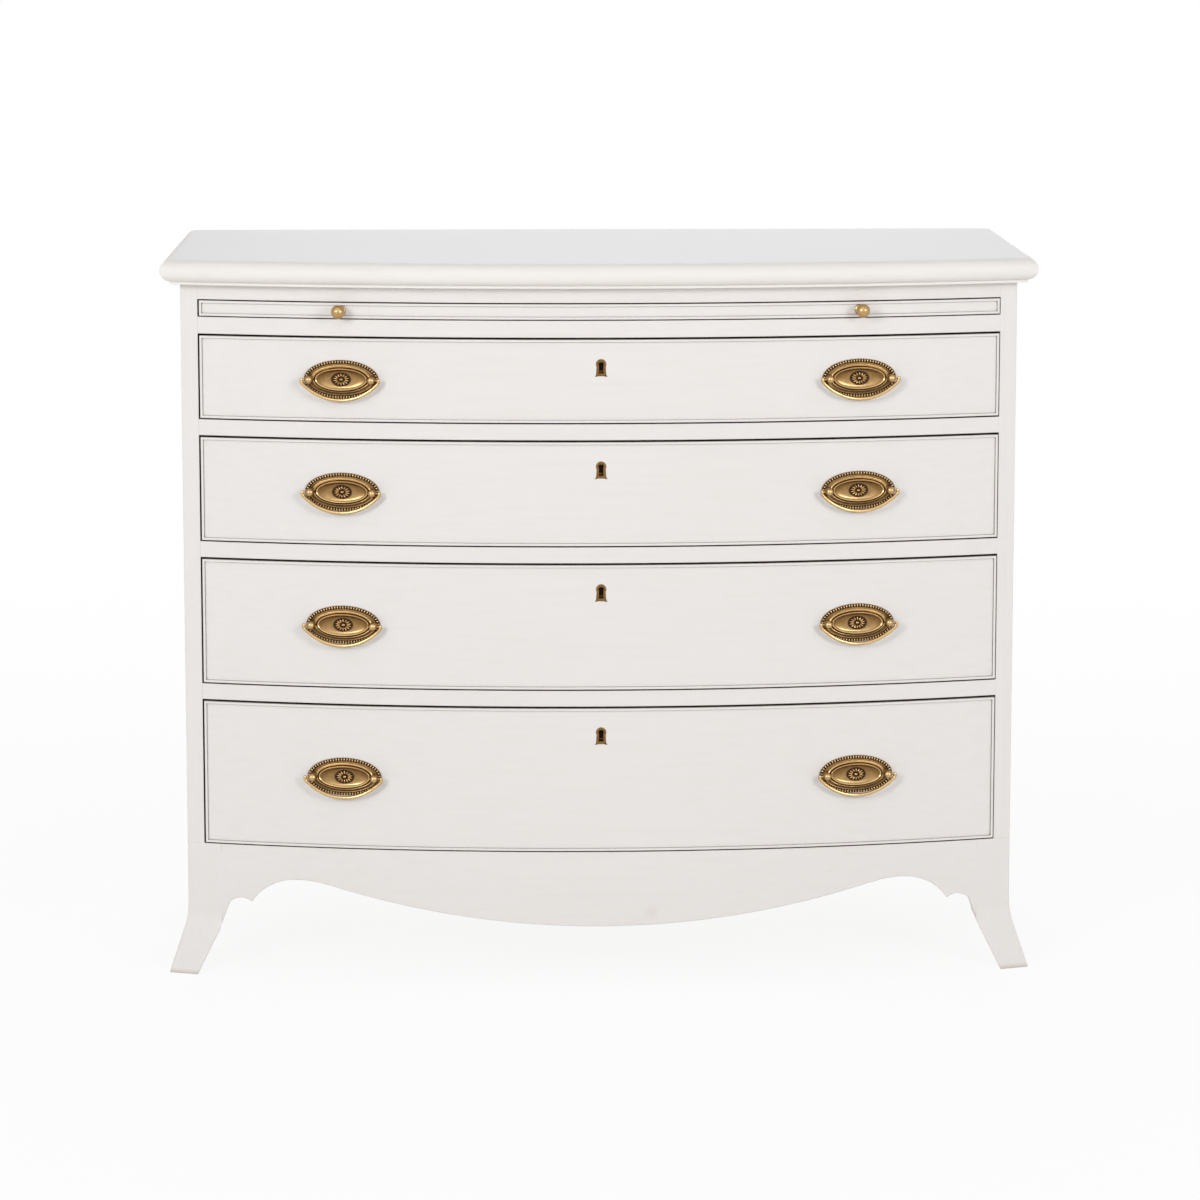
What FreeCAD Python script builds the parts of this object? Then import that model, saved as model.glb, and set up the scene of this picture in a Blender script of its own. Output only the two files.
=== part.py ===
import FreeCAD, Part
import os
import re
import Sketcher

# A bow-front chest of four graduated drawers below a brushing slide, on splayed
# bracket feet. The origin is on the floor below the middle of the top board:
# +X runs to the right of someone facing the chest, the front looks along -Y
# and +Z is up. All sizes are in millimetres.

doc = FreeCAD.newDocument("BowFrontChest")

drivingSizes = {
    # whole chest
    "topWidth": 1070,
    "topDepth": 522,
    # the bow of the case front, as a radius about an upright line behind the chest
    "bowRadius": 1970,
    # top board: half-round nose with a small fillet strip below it
    "noseThickness": 27,
    "filletThickness": 3.5,
    "filletSetback": 11.5,
    "sideOverhang": 23.2,
    "frontOverhang": 28,
    "backOverhang": 8,
    # case boards
    "sideThickness": 21,
    "backThickness": 10,
    "backRebate": 10,
    "backBoardGap": 1,
    "bottomThickness": 18,
    # heights up the front, from the floor to the top board
    "baseTop": 161.3,
    "openingHeight4": 181.7,
    "openingHeight3": 157.5,
    "openingHeight2": 131,
    "openingHeight1": 105,
    "railHeight": 20,
    "slideRailHeight": 21,
    "slideOpening": 21,
    "friezeHeight": 19,
    # rails, runners and dustboards
    "railDepth": 85,
    "runnerWidth": 40,
    "dustboardThickness": 6,
    "stopWidth": 30,
    "stopDepth": 12,
    "stopHeight": 6,
    "stopSpread": 250,
    # shaped apron and feet
    "apronThickness": 22,
    "apronCentreHeight": 67.5,
    "footWidth": 42,
    "footSplay": 23,
    "flareHeight": 84,
    "ankleRadius": 95,
    "toeWidth": 43,
    "rearToeWidth": 30,
    "ankleInset": 52,
    "ankleHeight": 88,
    "smallArchRise": 5.5,
    "cuspInset": 80,
    "cuspHeight": 90,
    "archInset": 136,
    "archHeight": 120,
    "ogeeRun": 41,
    "blockSize": 22,
    # drawers
    "drawerGap": 1,
    "runningGap": 0.3,
    "drawerFrontThickness": 22,
    "drawerSideThickness": 9,
    "drawerBackThickness": 9,
    "drawerBackGap": 8,
    "drawerBackDrop": 8,
    "drawerSideDrop": 3,
    "drawerBottomThickness": 6,
    "drawerBottomRise": 10,
    "grooveDepth": 4,
    "tailLength": 10.5,
    "tailPitch": 32,
    "tailNeck": 18,
    "tailFlare": 3,
    # cock bead round each drawer front and round the slide
    "beadWidth": 3.2,
    "beadProjection": 2,
    # brushing slide and its knobs
    "slideDepth": 360,
    "knobRadius": 8.5,
    "knobRoseRadius": 6.3,
    "knobNeckRadius": 3.2,
    "knobRoseThickness": 1.6,
    "knobLength": 25,
    "knobTenonRadius": 3,
    "knobTenonLength": 20,
    # oval pulls
    "pullSpread": 315,
    "plateWidth": 92,
    "plateHeight": 48,
    "plateThickness": 1.6,
    "ovalWidth": 64.7,
    "ovalHeight": 27.4,
    "ovalRise": 1.8,
    "postSpread": 38.4,
    "postBallRadius": 5.2,
    "postNeckRadius": 2.8,
    "postStandoff": 9.5,
    "shankWidth": 4.6,
    "shankClearance": 0.2,
    "shankProjection": 6,
    "nutWidth": 11,
    "nutThickness": 3,
    "bailHalfWidth": 47.5,
    "bailDrop": 26,
    "bailShoulder": 5,
    "bailThickness": 4.2,
    "bailPinRadius": 1.3,
    "bailPinClearance": 0.15,
    "bailPinDepth": 3.4,
    # locks and keyholes
    "lockWidth": 60,
    "lockHeight": 44,
    "lockDepth": 12,
    "boltWidth": 16,
    "boltDepth": 6,
    "boltLength": 26,
    "boltThrow": 7,
    "boltClearance": 0.3,
    "talonDepth": 6.5,
    "keyholeDrop": 32,
    "keyholeRadius": 3.2,
    "keyholeSlotWidth": 3,
    "keyholeSlotLength": 11.2,
    "escutcheonRim": 3.3,
    "escutcheonWaist": 10.6,
    "escutcheonFoot": 12.4,
    "escutcheonProud": 0.4,
}

placeFormulas = {
    "caseHalf": "topWidth / 2 - sideOverhang",
    "openingHalf": "caseHalf - sideThickness",
    "frontCrown": "frontOverhang - topDepth / 2",
    "bowCentre": "frontCrown + bowRadius",
    "cornerFront": "bowCentre - sqrt(bowRadius^2 - caseHalf^2)",
    "backFace": "topDepth / 2 - backOverhang",
    "backInner": "backFace - backThickness",
    "railBack": "frontCrown + railDepth",
    "floor4": "baseTop",
    "ceiling4": "floor4 + openingHeight4",
    "floor3": "ceiling4 + railHeight",
    "ceiling3": "floor3 + openingHeight3",
    "floor2": "ceiling3 + railHeight",
    "ceiling2": "floor2 + openingHeight2",
    "floor1": "ceiling2 + railHeight",
    "ceiling1": "floor1 + openingHeight1",
    "slideFloor": "ceiling1 + slideRailHeight",
    "slideCeiling": "slideFloor + slideOpening",
    "caseTop": "slideCeiling + friezeHeight",
    "totalHeight": "caseTop + filletThickness + noseThickness",
    # feet: the ankle's arc runs down into a straight rake to the toe
    "footRake": "atan2(flareHeight; ankleRadius - footSplay)"
                " - acos(ankleRadius / hypot(flareHeight; ankleRadius - footSplay))",
    "ankleArcOut": "ankleRadius * (1 - cos(footRake))",
    "ankleArcHeight": "flareHeight - ankleRadius * sin(footRake)",
    "toeInset": "toeWidth - footSplay",
    "footJointHeight": "ankleHeight * (footWidth - toeInset) / (ankleInset - toeInset)",
    "rearJointHeight": "ankleHeight * (footWidth - rearToeWidth) / (ankleInset - rearToeWidth)",
    # drawers
    "drawerHalf": "openingHalf - drawerGap",
    "boxHalf": "drawerHalf - drawerSideThickness",
    "drawerInnerRadius": "bowRadius - drawerFrontThickness",
    "tailRoot": "bowCentre - sqrt(drawerInnerRadius^2 - boxHalf^2)",
    "drawerRear": "backInner - drawerBackGap",
    "frontInner": "frontCrown + drawerFrontThickness",
    "pullAngle": "asin(pullSpread / bowRadius)",
    "pullFace": "bowCentre - sqrt(bowRadius^2 - pullSpread^2)",
    "bailRise": "bailDrop - bailShoulder",
    "bailRadius": "(bailHalfWidth^2 + bailRise^2) / (2 * bailRise)",
    "nutSeat": "bowRadius - sqrt(drawerInnerRadius^2 - (postSpread + nutWidth / 2)^2)",
}

sheetOf = {}


def fillSheet(name, rows):
    sheet = doc.addObject("Spreadsheet::Sheet", name)
    for row, (alias, content) in enumerate(rows.items(), start=1):
        sheet.set(f"A{row}", alias)
        sheet.set(f"B{row}", content)
        sheet.setAlias(f"B{row}", alias)
        sheetOf[alias] = name
    return sheet


def bound(expression):
    """The expression with each size named in full, as in Sizes.topWidth."""
    def fullName(word):
        name = word.group(0)
        return f"{sheetOf[name]}.{name}" if name in sheetOf else name
    return re.sub(r"[A-Za-z]\w*", fullName, str(expression))


sizes = fillSheet("Sizes", {alias: str(number) for alias, number in drivingSizes.items()})
for alias in placeFormulas:
    sheetOf[alias] = "Places"
places = fillSheet("Places", {alias: "=" + bound(rule) for alias, rule in placeFormulas.items()})
doc.recompute()


def size(expression):
    """The present value of an expression, in millimetres or degrees."""
    number = sizes.evalExpression(bound(expression))
    return float(getattr(number, "Value", number))


# ---- drawing and shaping ----

nodes = {}


def newBody(name):
    return doc.addObject("PartDesign::Body", name)


def originPlane(body, role):
    return next(feature for feature in body.Origin.OriginFeatures if feature.Role == role)


def newSketch(body, plane, offset="0"):
    """A sketch on one of the body's own planes, moved along the plane's normal."""
    sketch = body.newObject("Sketcher::SketchObject", body.Name + "_sketch")
    sketch.AttachmentSupport = [(originPlane(body, plane), "")]
    sketch.MapMode = "FlatFace"
    sketch.setExpression("AttachmentOffset.Base.z", bound(offset))
    return sketch


def tie(sketch, constraint, name, expression):
    """Add a named constraint whose value follows an expression."""
    number = sketch.addConstraint(constraint)
    sketch.renameConstraint(number, name)
    sketch.setExpression(f"Constraints.{name}", bound(expression))


def arcBetween(start, end, radius, turn):
    """The shorter arc from start to end: turn is 1 anticlockwise, -1 clockwise."""
    across = end - start
    middle = (start + end) * 0.5
    rise = max(radius ** 2 - (across.Length / 2) ** 2, 0) ** 0.5
    leftward = FreeCAD.Vector(-across.y, across.x, 0).normalize()
    centre = middle + leftward * rise * turn
    first, last = (start, end) if turn > 0 else (end, start)
    xAxis = FreeCAD.Vector(1, 0, 0)
    circle = Part.Circle(centre, FreeCAD.Vector(0, 0, 1), radius)
    return Part.ArcOfCircle(circle, *(circle.parameter(point) for point in (first, last)))


def drawOutline(sketch, corners, arcs=None):
    """Close an outline through the corners, which are pairs of expressions.

    arcs maps the number of a side to its radius and its turn, 1 or -1; other
    sides are straight.
    """
    arcs = arcs or {}
    points = [FreeCAD.Vector(size(x), size(y), 0) for x, y in corners]
    tag = f"g{sketch.GeometryCount}"
    ends = []
    for side, start in enumerate(points):
        end = points[(side + 1) % len(points)]
        if side in arcs:
            radius, turn = arcs[side]
            number = sketch.addGeometry(arcBetween(start, end, size(radius), turn), False)
            tie(sketch, Sketcher.Constraint("Radius", number, size(radius)),
                f"{tag}radius{side}", radius)
            ends.append((number, 1, 2) if turn > 0 else (number, 2, 1))
        else:
            number = sketch.addGeometry(Part.LineSegment(start, end), False)
            ends.append((number, 1, 2))
    for side, (number, startPoint, endPoint) in enumerate(ends):
        following, followingStart, _ = ends[(side + 1) % len(ends)]
        sketch.addConstraint(
            Sketcher.Constraint("Coincident", number, endPoint, following, followingStart))
        x, y = corners[side]
        tie(sketch, Sketcher.Constraint("DistanceX", -1, 1, number, startPoint, points[side].x),
            f"{tag}cornerX{side}", x)
        tie(sketch, Sketcher.Constraint("DistanceY", -1, 1, number, startPoint, points[side].y),
            f"{tag}cornerY{side}", y)
    return sketch


def drawRectangle(sketch, x0, y0, x1, y1):
    return drawOutline(sketch, [(x0, y0), (x1, y0), (x1, y1), (x0, y1)])


def pad(body, sketch, length):
    """Thicken a sketch along its plane's normal."""
    feature = body.newObject("PartDesign::Pad", body.Name + "_pad")
    feature.Profile = sketch
    feature.setExpression("Length", bound(length))
    sketch.Visibility = False
    return feature


def pocket(body, sketch, depth):
    """Cut a sketch into the body against its plane's normal, and check that it cuts."""
    doc.recompute()
    before = body.Shape.Volume
    feature = body.newObject("PartDesign::Pocket", body.Name + "_pocket")
    feature.Profile = sketch
    feature.setExpression("Length", bound(depth))
    doc.recompute()
    if body.Shape.Volume > before - 0.01:
        raise RuntimeError(f"{feature.Name} cuts nothing")
    return feature


def revolve(body, sketch, axisStart, axisEnd, angle="360"):
    """Turn a sketch about the line between two points of its plane, half each way."""
    start, end = (FreeCAD.Vector(size(x), size(y), 0) for x, y in (axisStart, axisEnd))
    line = sketch.addGeometry(Part.LineSegment(start, end), True)
    for point, (x, y), name in ((1, axisStart, "start"), (2, axisEnd, "end")):
        tie(sketch, Sketcher.Constraint("DistanceX", -1, 1, line, point, size(x)),
            f"axis{name}X", x)
        tie(sketch, Sketcher.Constraint("DistanceY", -1, 1, line, point, size(y)),
            f"axis{name}Y", y)
    feature = body.newObject("PartDesign::Revolution", body.Name + "_turning")
    feature.Profile = sketch
    feature.ReferenceAxis = (sketch, ["Axis0"])
    feature.Midplane = True
    feature.setExpression("Angle", bound(angle))
    return feature


def facetedTurning(name, profile, sides):
    """A small turned piece about the Y axis, lofted through regular polygons.

    profile pairs a radius with a depth from front to back. Flat sides keep the many
    brass fittings light, and a flat faces each way along X.
    """
    rings = []
    for number, (radius, depth) in enumerate(profile):
        ring = doc.addObject("Part::RegularPolygon", f"{name}_ring_{number}")
        ring.Polygon = sides
        ring.setExpression("Circumradius", bound(f"({radius}) / cos(180 / {sides})"))
        ring.Placement.Rotation = (FreeCAD.Rotation(FreeCAD.Vector(1, 0, 0), 90)
                                   * FreeCAD.Rotation(FreeCAD.Vector(0, 0, 1), 180 / sides))
        ring.setExpression("Placement.Base.y", bound(depth))
        rings.append(ring)
    loft = doc.addObject("Part::Loft", name)
    loft.Sections = rings
    loft.Solid = True
    loft.Ruled = True
    loft.Linearize = True
    return loft


def block(name, corner, extent):
    """A rectangular board from its lowest corner."""
    box = doc.addObject("Part::Box", name)
    for axis, expression in zip("xyz", corner):
        box.setExpression(f"Placement.Base.{axis}", bound(expression))
    for side, expression in zip(("Length", "Width", "Height"), extent):
        box.setExpression(side, bound(expression))
    return box


def keep(node, pieces):
    """Name the sub-part: one object, or several that share a node as separate solids."""
    if isinstance(pieces, list):
        group = doc.addObject("Part::Compound", node)
        group.Links = pieces
        pieces = group
    pieces.Label = node
    nodes[node] = pieces
    return pieces


def bowY(half, radius="bowRadius"):
    """Depth of the bow at a distance from the middle."""
    return f"(bowCentre - sqrt(({radius})^2 - ({half})^2))"


def bowedPlan(sketch, half, outer, inner=None, back=None):
    """Plan of a bowed piece, with a concentric inner arc or a straight back."""
    rear = bowY(half, inner) if inner else back
    arcs = {0: (outer, 1)}
    if inner:
        arcs[2] = (inner, -1)
    corners = [(f"-({half})", bowY(half, outer)), (half, bowY(half, outer)),
               (half, rear), (f"-({half})", rear)]
    return drawOutline(sketch, corners, arcs)


def shares(parts):
    """Even steps from 0 to 1."""
    return [step / parts for step in range(parts + 1)]


def roundRadius(run, rise):
    """Radius of an arc that starts level and climbs by rise over run."""
    return f"((({run})^2 + ({rise})^2) / (2 * abs({rise})))"


# ---- case ----

def nosedEdge(edge, outward):
    """Corners of an edge with a half-round nose above a fillet strip, from the top down.

    The half round is worked in narrow flats.
    """
    radius = "noseThickness / 2"
    centre = f"({edge} - {outward} * {radius})"
    nose = [(f"{centre} + {outward} * {radius} * sin({turn})",
             f"totalHeight - {radius} + {radius} * cos({turn})")
            for turn in (180 * share for share in shares(8))]
    strip = f"({edge} - {outward} * filletSetback)"
    return nose + [(strip, "totalHeight - noseThickness"), (strip, "caseTop")]


def makeTopBoard():
    """The nose runs round the bow and along both ends, and meets in a mitre at the corners."""
    bow = newBody("top_bow")
    profile = newSketch(bow, "YZ_Plane")
    drawOutline(profile, nosedEdge("(-topDepth / 2)", "-1")
                + [("topDepth", "caseTop"), ("topDepth", "totalHeight")])
    revolve(bow, profile, ("bowCentre", "0"), ("bowCentre", "totalHeight"),
            "4 * asin(topWidth / 2 / bowRadius)")
    ends = newBody("top_ends")
    section = newSketch(ends, "XZ_Plane", "-topDepth / 2")
    right = nosedEdge("(topWidth / 2)", "1")
    drawOutline(section, right + [(f"-({x})", z) for x, z in reversed(right)])
    pad(ends, section, "2 * topDepth")
    top = doc.addObject("Part::MultiCommon", "top_board")
    top.Shapes = [bow, ends]
    keep("top_board", top)


def makeSides():
    for hand, sign in (("left", "-1"), ("right", "1")):
        body = newBody(f"side_{hand}")
        plan = newSketch(body, "XY_Plane", "baseTop")
        outer, inner = f"{sign} * caseHalf", f"{sign} * openingHalf"
        rebate = f"{sign} * (openingHalf + backRebate)"
        corners = [(inner, bowY("openingHalf")), (outer, "cornerFront"), (outer, "backFace"),
                   (rebate, "backFace"), (rebate, "backInner"), (inner, "backInner")]
        drawOutline(plan, corners, {0: ("bowRadius", int(sign))})
        pad(body, plan, "caseTop - baseTop")
        keep(f"side_{hand}", body)


def makeBackBoards():
    count = 5
    width = f"((2 * (openingHalf + backRebate) - {count - 1} * backBoardGap) / {count})"
    boards = [block(f"back_board_{number + 1}",
                    (f"{number} * ({width} + backBoardGap) - openingHalf - backRebate",
                     "backInner", "baseTop"),
                    (width, "backThickness", "caseTop - baseTop"))
              for number in range(count)]
    keep("back_boards", boards)


def makeRail(name, low, thickness, boltHole):
    """A flat rail across the front: bowed before, straight behind."""
    body = newBody(name)
    pad(body, bowedPlan(newSketch(body, "XY_Plane", low), "openingHalf", "bowRadius",
                        back="railBack"), thickness)
    if boltHole:
        mortise = newSketch(body, "XY_Plane", f"{low} + boltThrow + boltClearance")
        boltPlan(mortise, "2 * boltClearance")
        pocket(body, mortise, "boltThrow + boltClearance")
    keep(name, body)


def boltPlan(sketch, slack):
    """Plan of a lock bolt, in the middle of the lock's thickness."""
    middle = "(frontInner - lockDepth / 2)"
    half = f"(boltWidth / 2 + {slack})"
    halfDepth = f"(boltDepth / 2 + {slack})"
    return drawRectangle(sketch, f"-{half}", f"{middle} - {halfDepth}",
                         half, f"{middle} + {halfDepth}")


def makeRails():
    makeRail("frieze_rail", "slideCeiling", "friezeHeight", False)
    makeRail("slide_rail", "ceiling1", "slideRailHeight", True)
    for number in (1, 2, 3):
        makeRail(f"drawer_rail_{number}", f"ceiling{number + 1}", "railHeight", True)


def makeRunners():
    """Runners at the level of each rail, and the thin dustboards between them."""
    levels = [("ceiling1", "slideRailHeight")]
    levels += [(f"ceiling{number}", "railHeight") for number in (2, 3, 4)]
    runners, dustboards = [], []
    for number, (low, thickness) in enumerate(levels, start=1):
        length = "backInner - railBack"
        for hand, left in (("left", "-openingHalf"), ("right", "openingHalf - runnerWidth")):
            runners.append(block(f"runner_{number}_{hand}", (left, "railBack", low),
                                 ("runnerWidth", length, thickness)))
        dustboards.append(block(
            f"dustboard_{number}",
            ("runnerWidth - openingHalf", "railBack",
             f"{low} + ({thickness} - dustboardThickness) / 2"),
            ("2 * (openingHalf - runnerWidth)", length, "dustboardThickness")))
    keep("drawer_runners", runners)
    keep("dustboards", dustboards)


def makeStops():
    """Two small blocks behind each drawer front, glued to what the drawer runs on."""
    stops = []
    nearest = bowY("stopSpread + stopWidth / 2", "drawerInnerRadius")
    for number in (1, 2, 3, 4):
        for hand, left in (("left", "-stopSpread - stopWidth / 2"),
                           ("right", "stopSpread - stopWidth / 2")):
            stops.append(block(f"stop_{number}_{hand}",
                               (left, f"{nearest} + runningGap", f"floor{number}"),
                               ("stopWidth", "stopDepth", "stopHeight")))
    keep("drawer_stops", stops)


def makeBottomBoard():
    body = newBody("bottom_board")
    plan = newSketch(body, "XY_Plane", "baseTop - bottomThickness")
    inner = "bowRadius - apronThickness"
    foot = "caseHalf - footWidth"
    side = "openingHalf"
    notchFront, notchBack = "cornerFront + footWidth", "backFace - footWidth"
    half = [(foot, bowY(foot, inner)), (foot, notchFront), (side, notchFront),
            (side, notchBack), (foot, notchBack), (foot, "backFace")]
    corners = half + [(f"-({x})", y) for x, y in reversed(half)]
    drawOutline(plan, corners, {len(corners) - 1: (inner, 1)})
    pad(body, plan, "bottomThickness")
    keep("bottom_board", body)


# ---- base ----

def makeFrontApron():
    """A bowed board whose lower edge rises from each foot through a cusp to an arch,
    then falls in an ogee to the middle."""
    body = newBody("front_apron")
    pad(body, bowedPlan(newSketch(body, "XY_Plane"), "caseHalf - footWidth", "bowRadius",
                        inner="bowRadius - apronThickness"), "baseTop")
    drop = "(archHeight - apronCentreHeight)"
    run = "(caseHalf - archInset)"
    turnRise = f"({drop} * ogeeRun / {run})"
    turn = (f"({run} - ogeeRun)", f"archHeight - {turnRise}")
    half = [("caseHalf - toeInset", "-footWidth"), ("caseHalf - toeInset", "0"),
            ("caseHalf - ankleInset", "ankleHeight"), ("caseHalf - cuspInset", "cuspHeight"),
            ("caseHalf - archInset", "archHeight"), turn]
    smallArch = smallArchRadius("cuspInset - ankleInset", "cuspHeight - ankleHeight")
    bigArch = roundRadius("archInset - cuspInset", "archHeight - cuspHeight")
    shoulder = roundRadius("ogeeRun", turnRise)
    belly = roundRadius(f"{run} - ogeeRun", f"{drop} - {turnRise}")
    corners = half + [(f"-({x})", z) for x, z in reversed(half)]
    arcs = {2: (smallArch, 1), 3: (bigArch, 1), 4: (shoulder, 1), 5: (belly, -1),
            6: (shoulder, 1), 7: (bigArch, 1), 8: (smallArch, 1)}
    opening = newSketch(body, "XZ_Plane", "topDepth / 2")
    drawOutline(opening, corners, arcs)
    pocket(body, opening, "topDepth")
    keep("front_apron", body)


def smallArchRadius(run, climb):
    """Radius of the little arch beside a foot, from its chord and its rise."""
    return f"((({run})^2 + ({climb})^2) / 4 + smallArchRise^2) / (2 * smallArchRise)"


def flaredEdge(foot, outward):
    """Corners and arc of a foot's outer edge, from the base's top down to the toe."""
    return [(foot, "baseTop"), (foot, "flareHeight"),
            (f"{foot} + {outward} * ankleArcOut", "ankleArcHeight"),
            (f"{foot} + {outward} * footSplay", "0")]


def makeFeet():
    """Solid splayed feet: what is common to a front view, a side view and, before,
    the flared bow."""
    bow = newBody("foot_bow")
    profile = newSketch(bow, "YZ_Plane")
    edge = flaredEdge("frontCrown", "-1")
    inner = "frontCrown + 3 * footWidth"
    drawOutline(profile, edge + [(inner, "0"), (inner, "baseTop")], {1: ("ankleRadius", -1)})
    revolve(bow, profile, ("bowCentre", "0"), ("bowCentre", "baseTop"),
            "2 * asin((caseHalf + 2 * footSplay) / bowRadius)")
    front = newBody("foot_front_side_view")
    rear = newBody("foot_rear_side_view")
    for body, face, forward, toe, joint in (
            (front, "cornerFront", "1", "toeInset", "footJointHeight"),
            (rear, "backFace", "-1", "rearToeWidth", "rearJointHeight")):
        outer = "cornerFront - 2 * footSplay" if body is front else "backFace"
        back = f"{face} + {forward} * footWidth"
        corners = [(outer, "0"), (f"{face} + {forward} * ({toe})", "0"), (back, joint),
                   (back, "baseTop"), (outer, "baseTop")]
        sketch = newSketch(body, "YZ_Plane", "-topWidth")
        drawOutline(sketch, corners)
        pad(body, sketch, "2 * topWidth")
    for hand, sign in (("left", "-1"), ("right", "1")):
        view = newBody(f"foot_{hand}_front_view")
        joint = f"{sign} * (caseHalf - footWidth)"
        corners = flaredEdge(f"{sign} * caseHalf", sign)
        corners += [(f"{sign} * (caseHalf - toeInset)", "0"), (joint, "footJointHeight"),
                    (joint, "baseTop")]
        sketch = newSketch(view, "XZ_Plane", "-topDepth")
        drawOutline(sketch, corners, {1: ("ankleRadius", int(sign))})
        pad(view, sketch, "2 * topDepth")
        for end, shapes in (("front", [view, front, bow]), ("rear", [view, rear])):
            foot = doc.addObject("Part::MultiCommon", f"{end}_foot_{hand}")
            foot.Shapes = shapes
            foot.Refine = True
            keep(f"{end}_foot_{hand}", foot)


def makeSideAprons():
    """Plain boards between the feet, cut below to a long low arch with a cusp by each foot."""
    front, back = "cornerFront", "backFace"
    span = f"(({back}) - ({front}) - 2 * cuspInset) / 2"
    corners = [
        (f"{front} + footWidth", "baseTop"), (f"{front} + footWidth", "footJointHeight"),
        (f"{front} + ankleInset", "ankleHeight"), (f"{front} + cuspInset", "cuspHeight"),
        (f"{back} - cuspInset", "cuspHeight"), (f"{back} - ankleInset", "ankleHeight"),
        (f"{back} - footWidth", "rearJointHeight"), (f"{back} - footWidth", "baseTop")]
    smallArch = smallArchRadius("cuspInset - ankleInset", "cuspHeight - ankleHeight")
    arcs = {2: (smallArch, -1), 3: (roundRadius(span, "archHeight - cuspHeight"), -1),
            4: (smallArch, -1)}
    for hand, inner in (("left", "-caseHalf"), ("right", "openingHalf")):
        body = newBody(f"side_apron_{hand}")
        sketch = newSketch(body, "YZ_Plane", inner)
        drawOutline(sketch, corners, arcs)
        pad(body, sketch, "sideThickness")
        keep(f"side_apron_{hand}", body)


def makeGlueBlocks():
    """Blocks under the bottom board that hold the aprons square."""
    low = "baseTop - bottomThickness - blockSize"
    inner = "bowRadius - apronThickness"
    blocks = []
    for number, half in enumerate(("0.2 * caseHalf", "0.6 * caseHalf")):
        for hand, sign in (("left", "-1"), ("right", "1")):
            near = bowY(f"{half} + blockSize / 2", inner)
            blocks.append(block(f"front_block_{number + 1}_{hand}",
                                (f"{sign} * {half} - blockSize / 2", near, low),
                                ("blockSize", "blockSize", "blockSize")))
    for hand, left in (("left", "-openingHalf"), ("right", "openingHalf - blockSize")):
        blocks.append(block(f"side_block_{hand}",
                            (left, "(cornerFront + backFace) / 2 - blockSize", low),
                            ("blockSize", "2 * blockSize", "blockSize")))
    keep("glue_blocks", blocks)


# ---- drawers and slide ----

def makeBead(node, low, height):
    """The frame of cock bead that stands proud round the edge of a bowed front."""
    body = newBody(node)
    pad(body, bowedPlan(newSketch(body, "XY_Plane", low), "drawerHalf",
                        "bowRadius + beadProjection", inner="bowRadius"), height)
    inside = newSketch(body, "XY_Plane", f"{low} + {height} - beadWidth")
    bowedPlan(inside, "drawerHalf - beadWidth", "bowRadius + 2 * beadProjection",
              inner="bowRadius - beadProjection")
    pocket(body, inside, f"{height} - 2 * beadWidth")
    keep(node, body)


def sideElevation(sketch, number):
    """A drawer side seen from the side, with dovetails along its front end."""
    low, high = f"floor{number} + runningGap", f"ceiling{number} - drawerGap - drawerSideDrop"
    count = max(int(size(f"({high} - ({low})) / tailPitch")), 2)
    pitch = f"(({high} - ({low})) / {count})"
    tip = "tailRoot - tailLength"
    corners = [("drawerRear", low), ("drawerRear", high), ("tailRoot", high)]
    for tail in reversed(range(count)):
        middle = f"({low} + ({tail} + 0.5) * {pitch})"
        corners += [("tailRoot", f"{middle} + tailNeck / 2"),
                    (tip, f"{middle} + tailNeck / 2 + tailFlare"),
                    (tip, f"{middle} - tailNeck / 2 - tailFlare"),
                    ("tailRoot", f"{middle} - tailNeck / 2")]
    corners.append(("tailRoot", low))
    return drawOutline(sketch, corners)


def keyholeOutline(sketch, number, radius, neck, foot, tail):
    """Round head above a tail; neck and foot are half the tail's width at its two ends.

    The head is drawn with short straight sides.
    """
    centre = f"(ceiling{number} - keyholeDrop)"
    gap = f"asin(({neck}) / ({radius}))"
    turns = [f"({gap} + (180 deg - {gap}) * {2 * share})" for share in shares(8)]
    corners = [(f"({radius}) * sin({turn})", f"{centre} - ({radius}) * cos({turn})")
               for turn in turns]
    bottom = f"{centre} - ({tail})"
    return drawOutline(sketch, corners + [(f"-({foot})", bottom), (foot, bottom)])


def keyOpening(sketch, number):
    half = "keyholeSlotWidth / 2"
    return keyholeOutline(sketch, number, "keyholeRadius", half, half, "keyholeSlotLength")


def escutcheonEdge(sketch, number):
    return keyholeOutline(sketch, number, "(keyholeRadius + escutcheonRim)",
                          "escutcheonWaist / 2", "escutcheonFoot / 2",
                          "keyholeSlotLength + escutcheonRim")


def placeOnFront(piece, hand, height, across="0", outward="0"):
    """Stand a piece on the bow where a pull sits: its own -Y points straight out."""
    sign = "-1" if hand == "left" else "1"
    piece.Placement.Rotation = FreeCAD.Rotation(FreeCAD.Vector(0, 0, int(sign)), 10)
    piece.setExpression("Placement.Rotation.Angle", bound("pullAngle"))
    piece.setExpression("Placement.Base.x", bound(
        f"{sign} * (pullSpread + ({outward}) * sin(pullAngle)) + ({across}) * cos(pullAngle)"))
    piece.setExpression("Placement.Base.y", bound(
        f"pullFace - ({outward}) * cos(pullAngle) + {sign} * ({across}) * sin(pullAngle)"))
    piece.setExpression("Placement.Base.z", bound(height))
    return piece


def copyOnFront(name, master, hand, height, across="0"):
    """A copy of a finished fitting, standing on the bow."""
    copy = doc.addObject("Part::Compound", name)
    copy.Links = [master]
    return placeOnFront(copy, hand, height, across)


def cutWith(name, base, tools):
    """Cut several shapes from a base, and check that they cut."""
    group = doc.addObject("Part::Compound", name + "_cutters")
    group.Links = tools
    result = doc.addObject("Part::Cut", name)
    result.Base, result.Tool = base, group
    doc.recompute()
    if result.Shape.Volume > base.Shape.Volume - 0.01:
        raise RuntimeError(f"{name}: nothing is cut")
    return result


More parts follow.
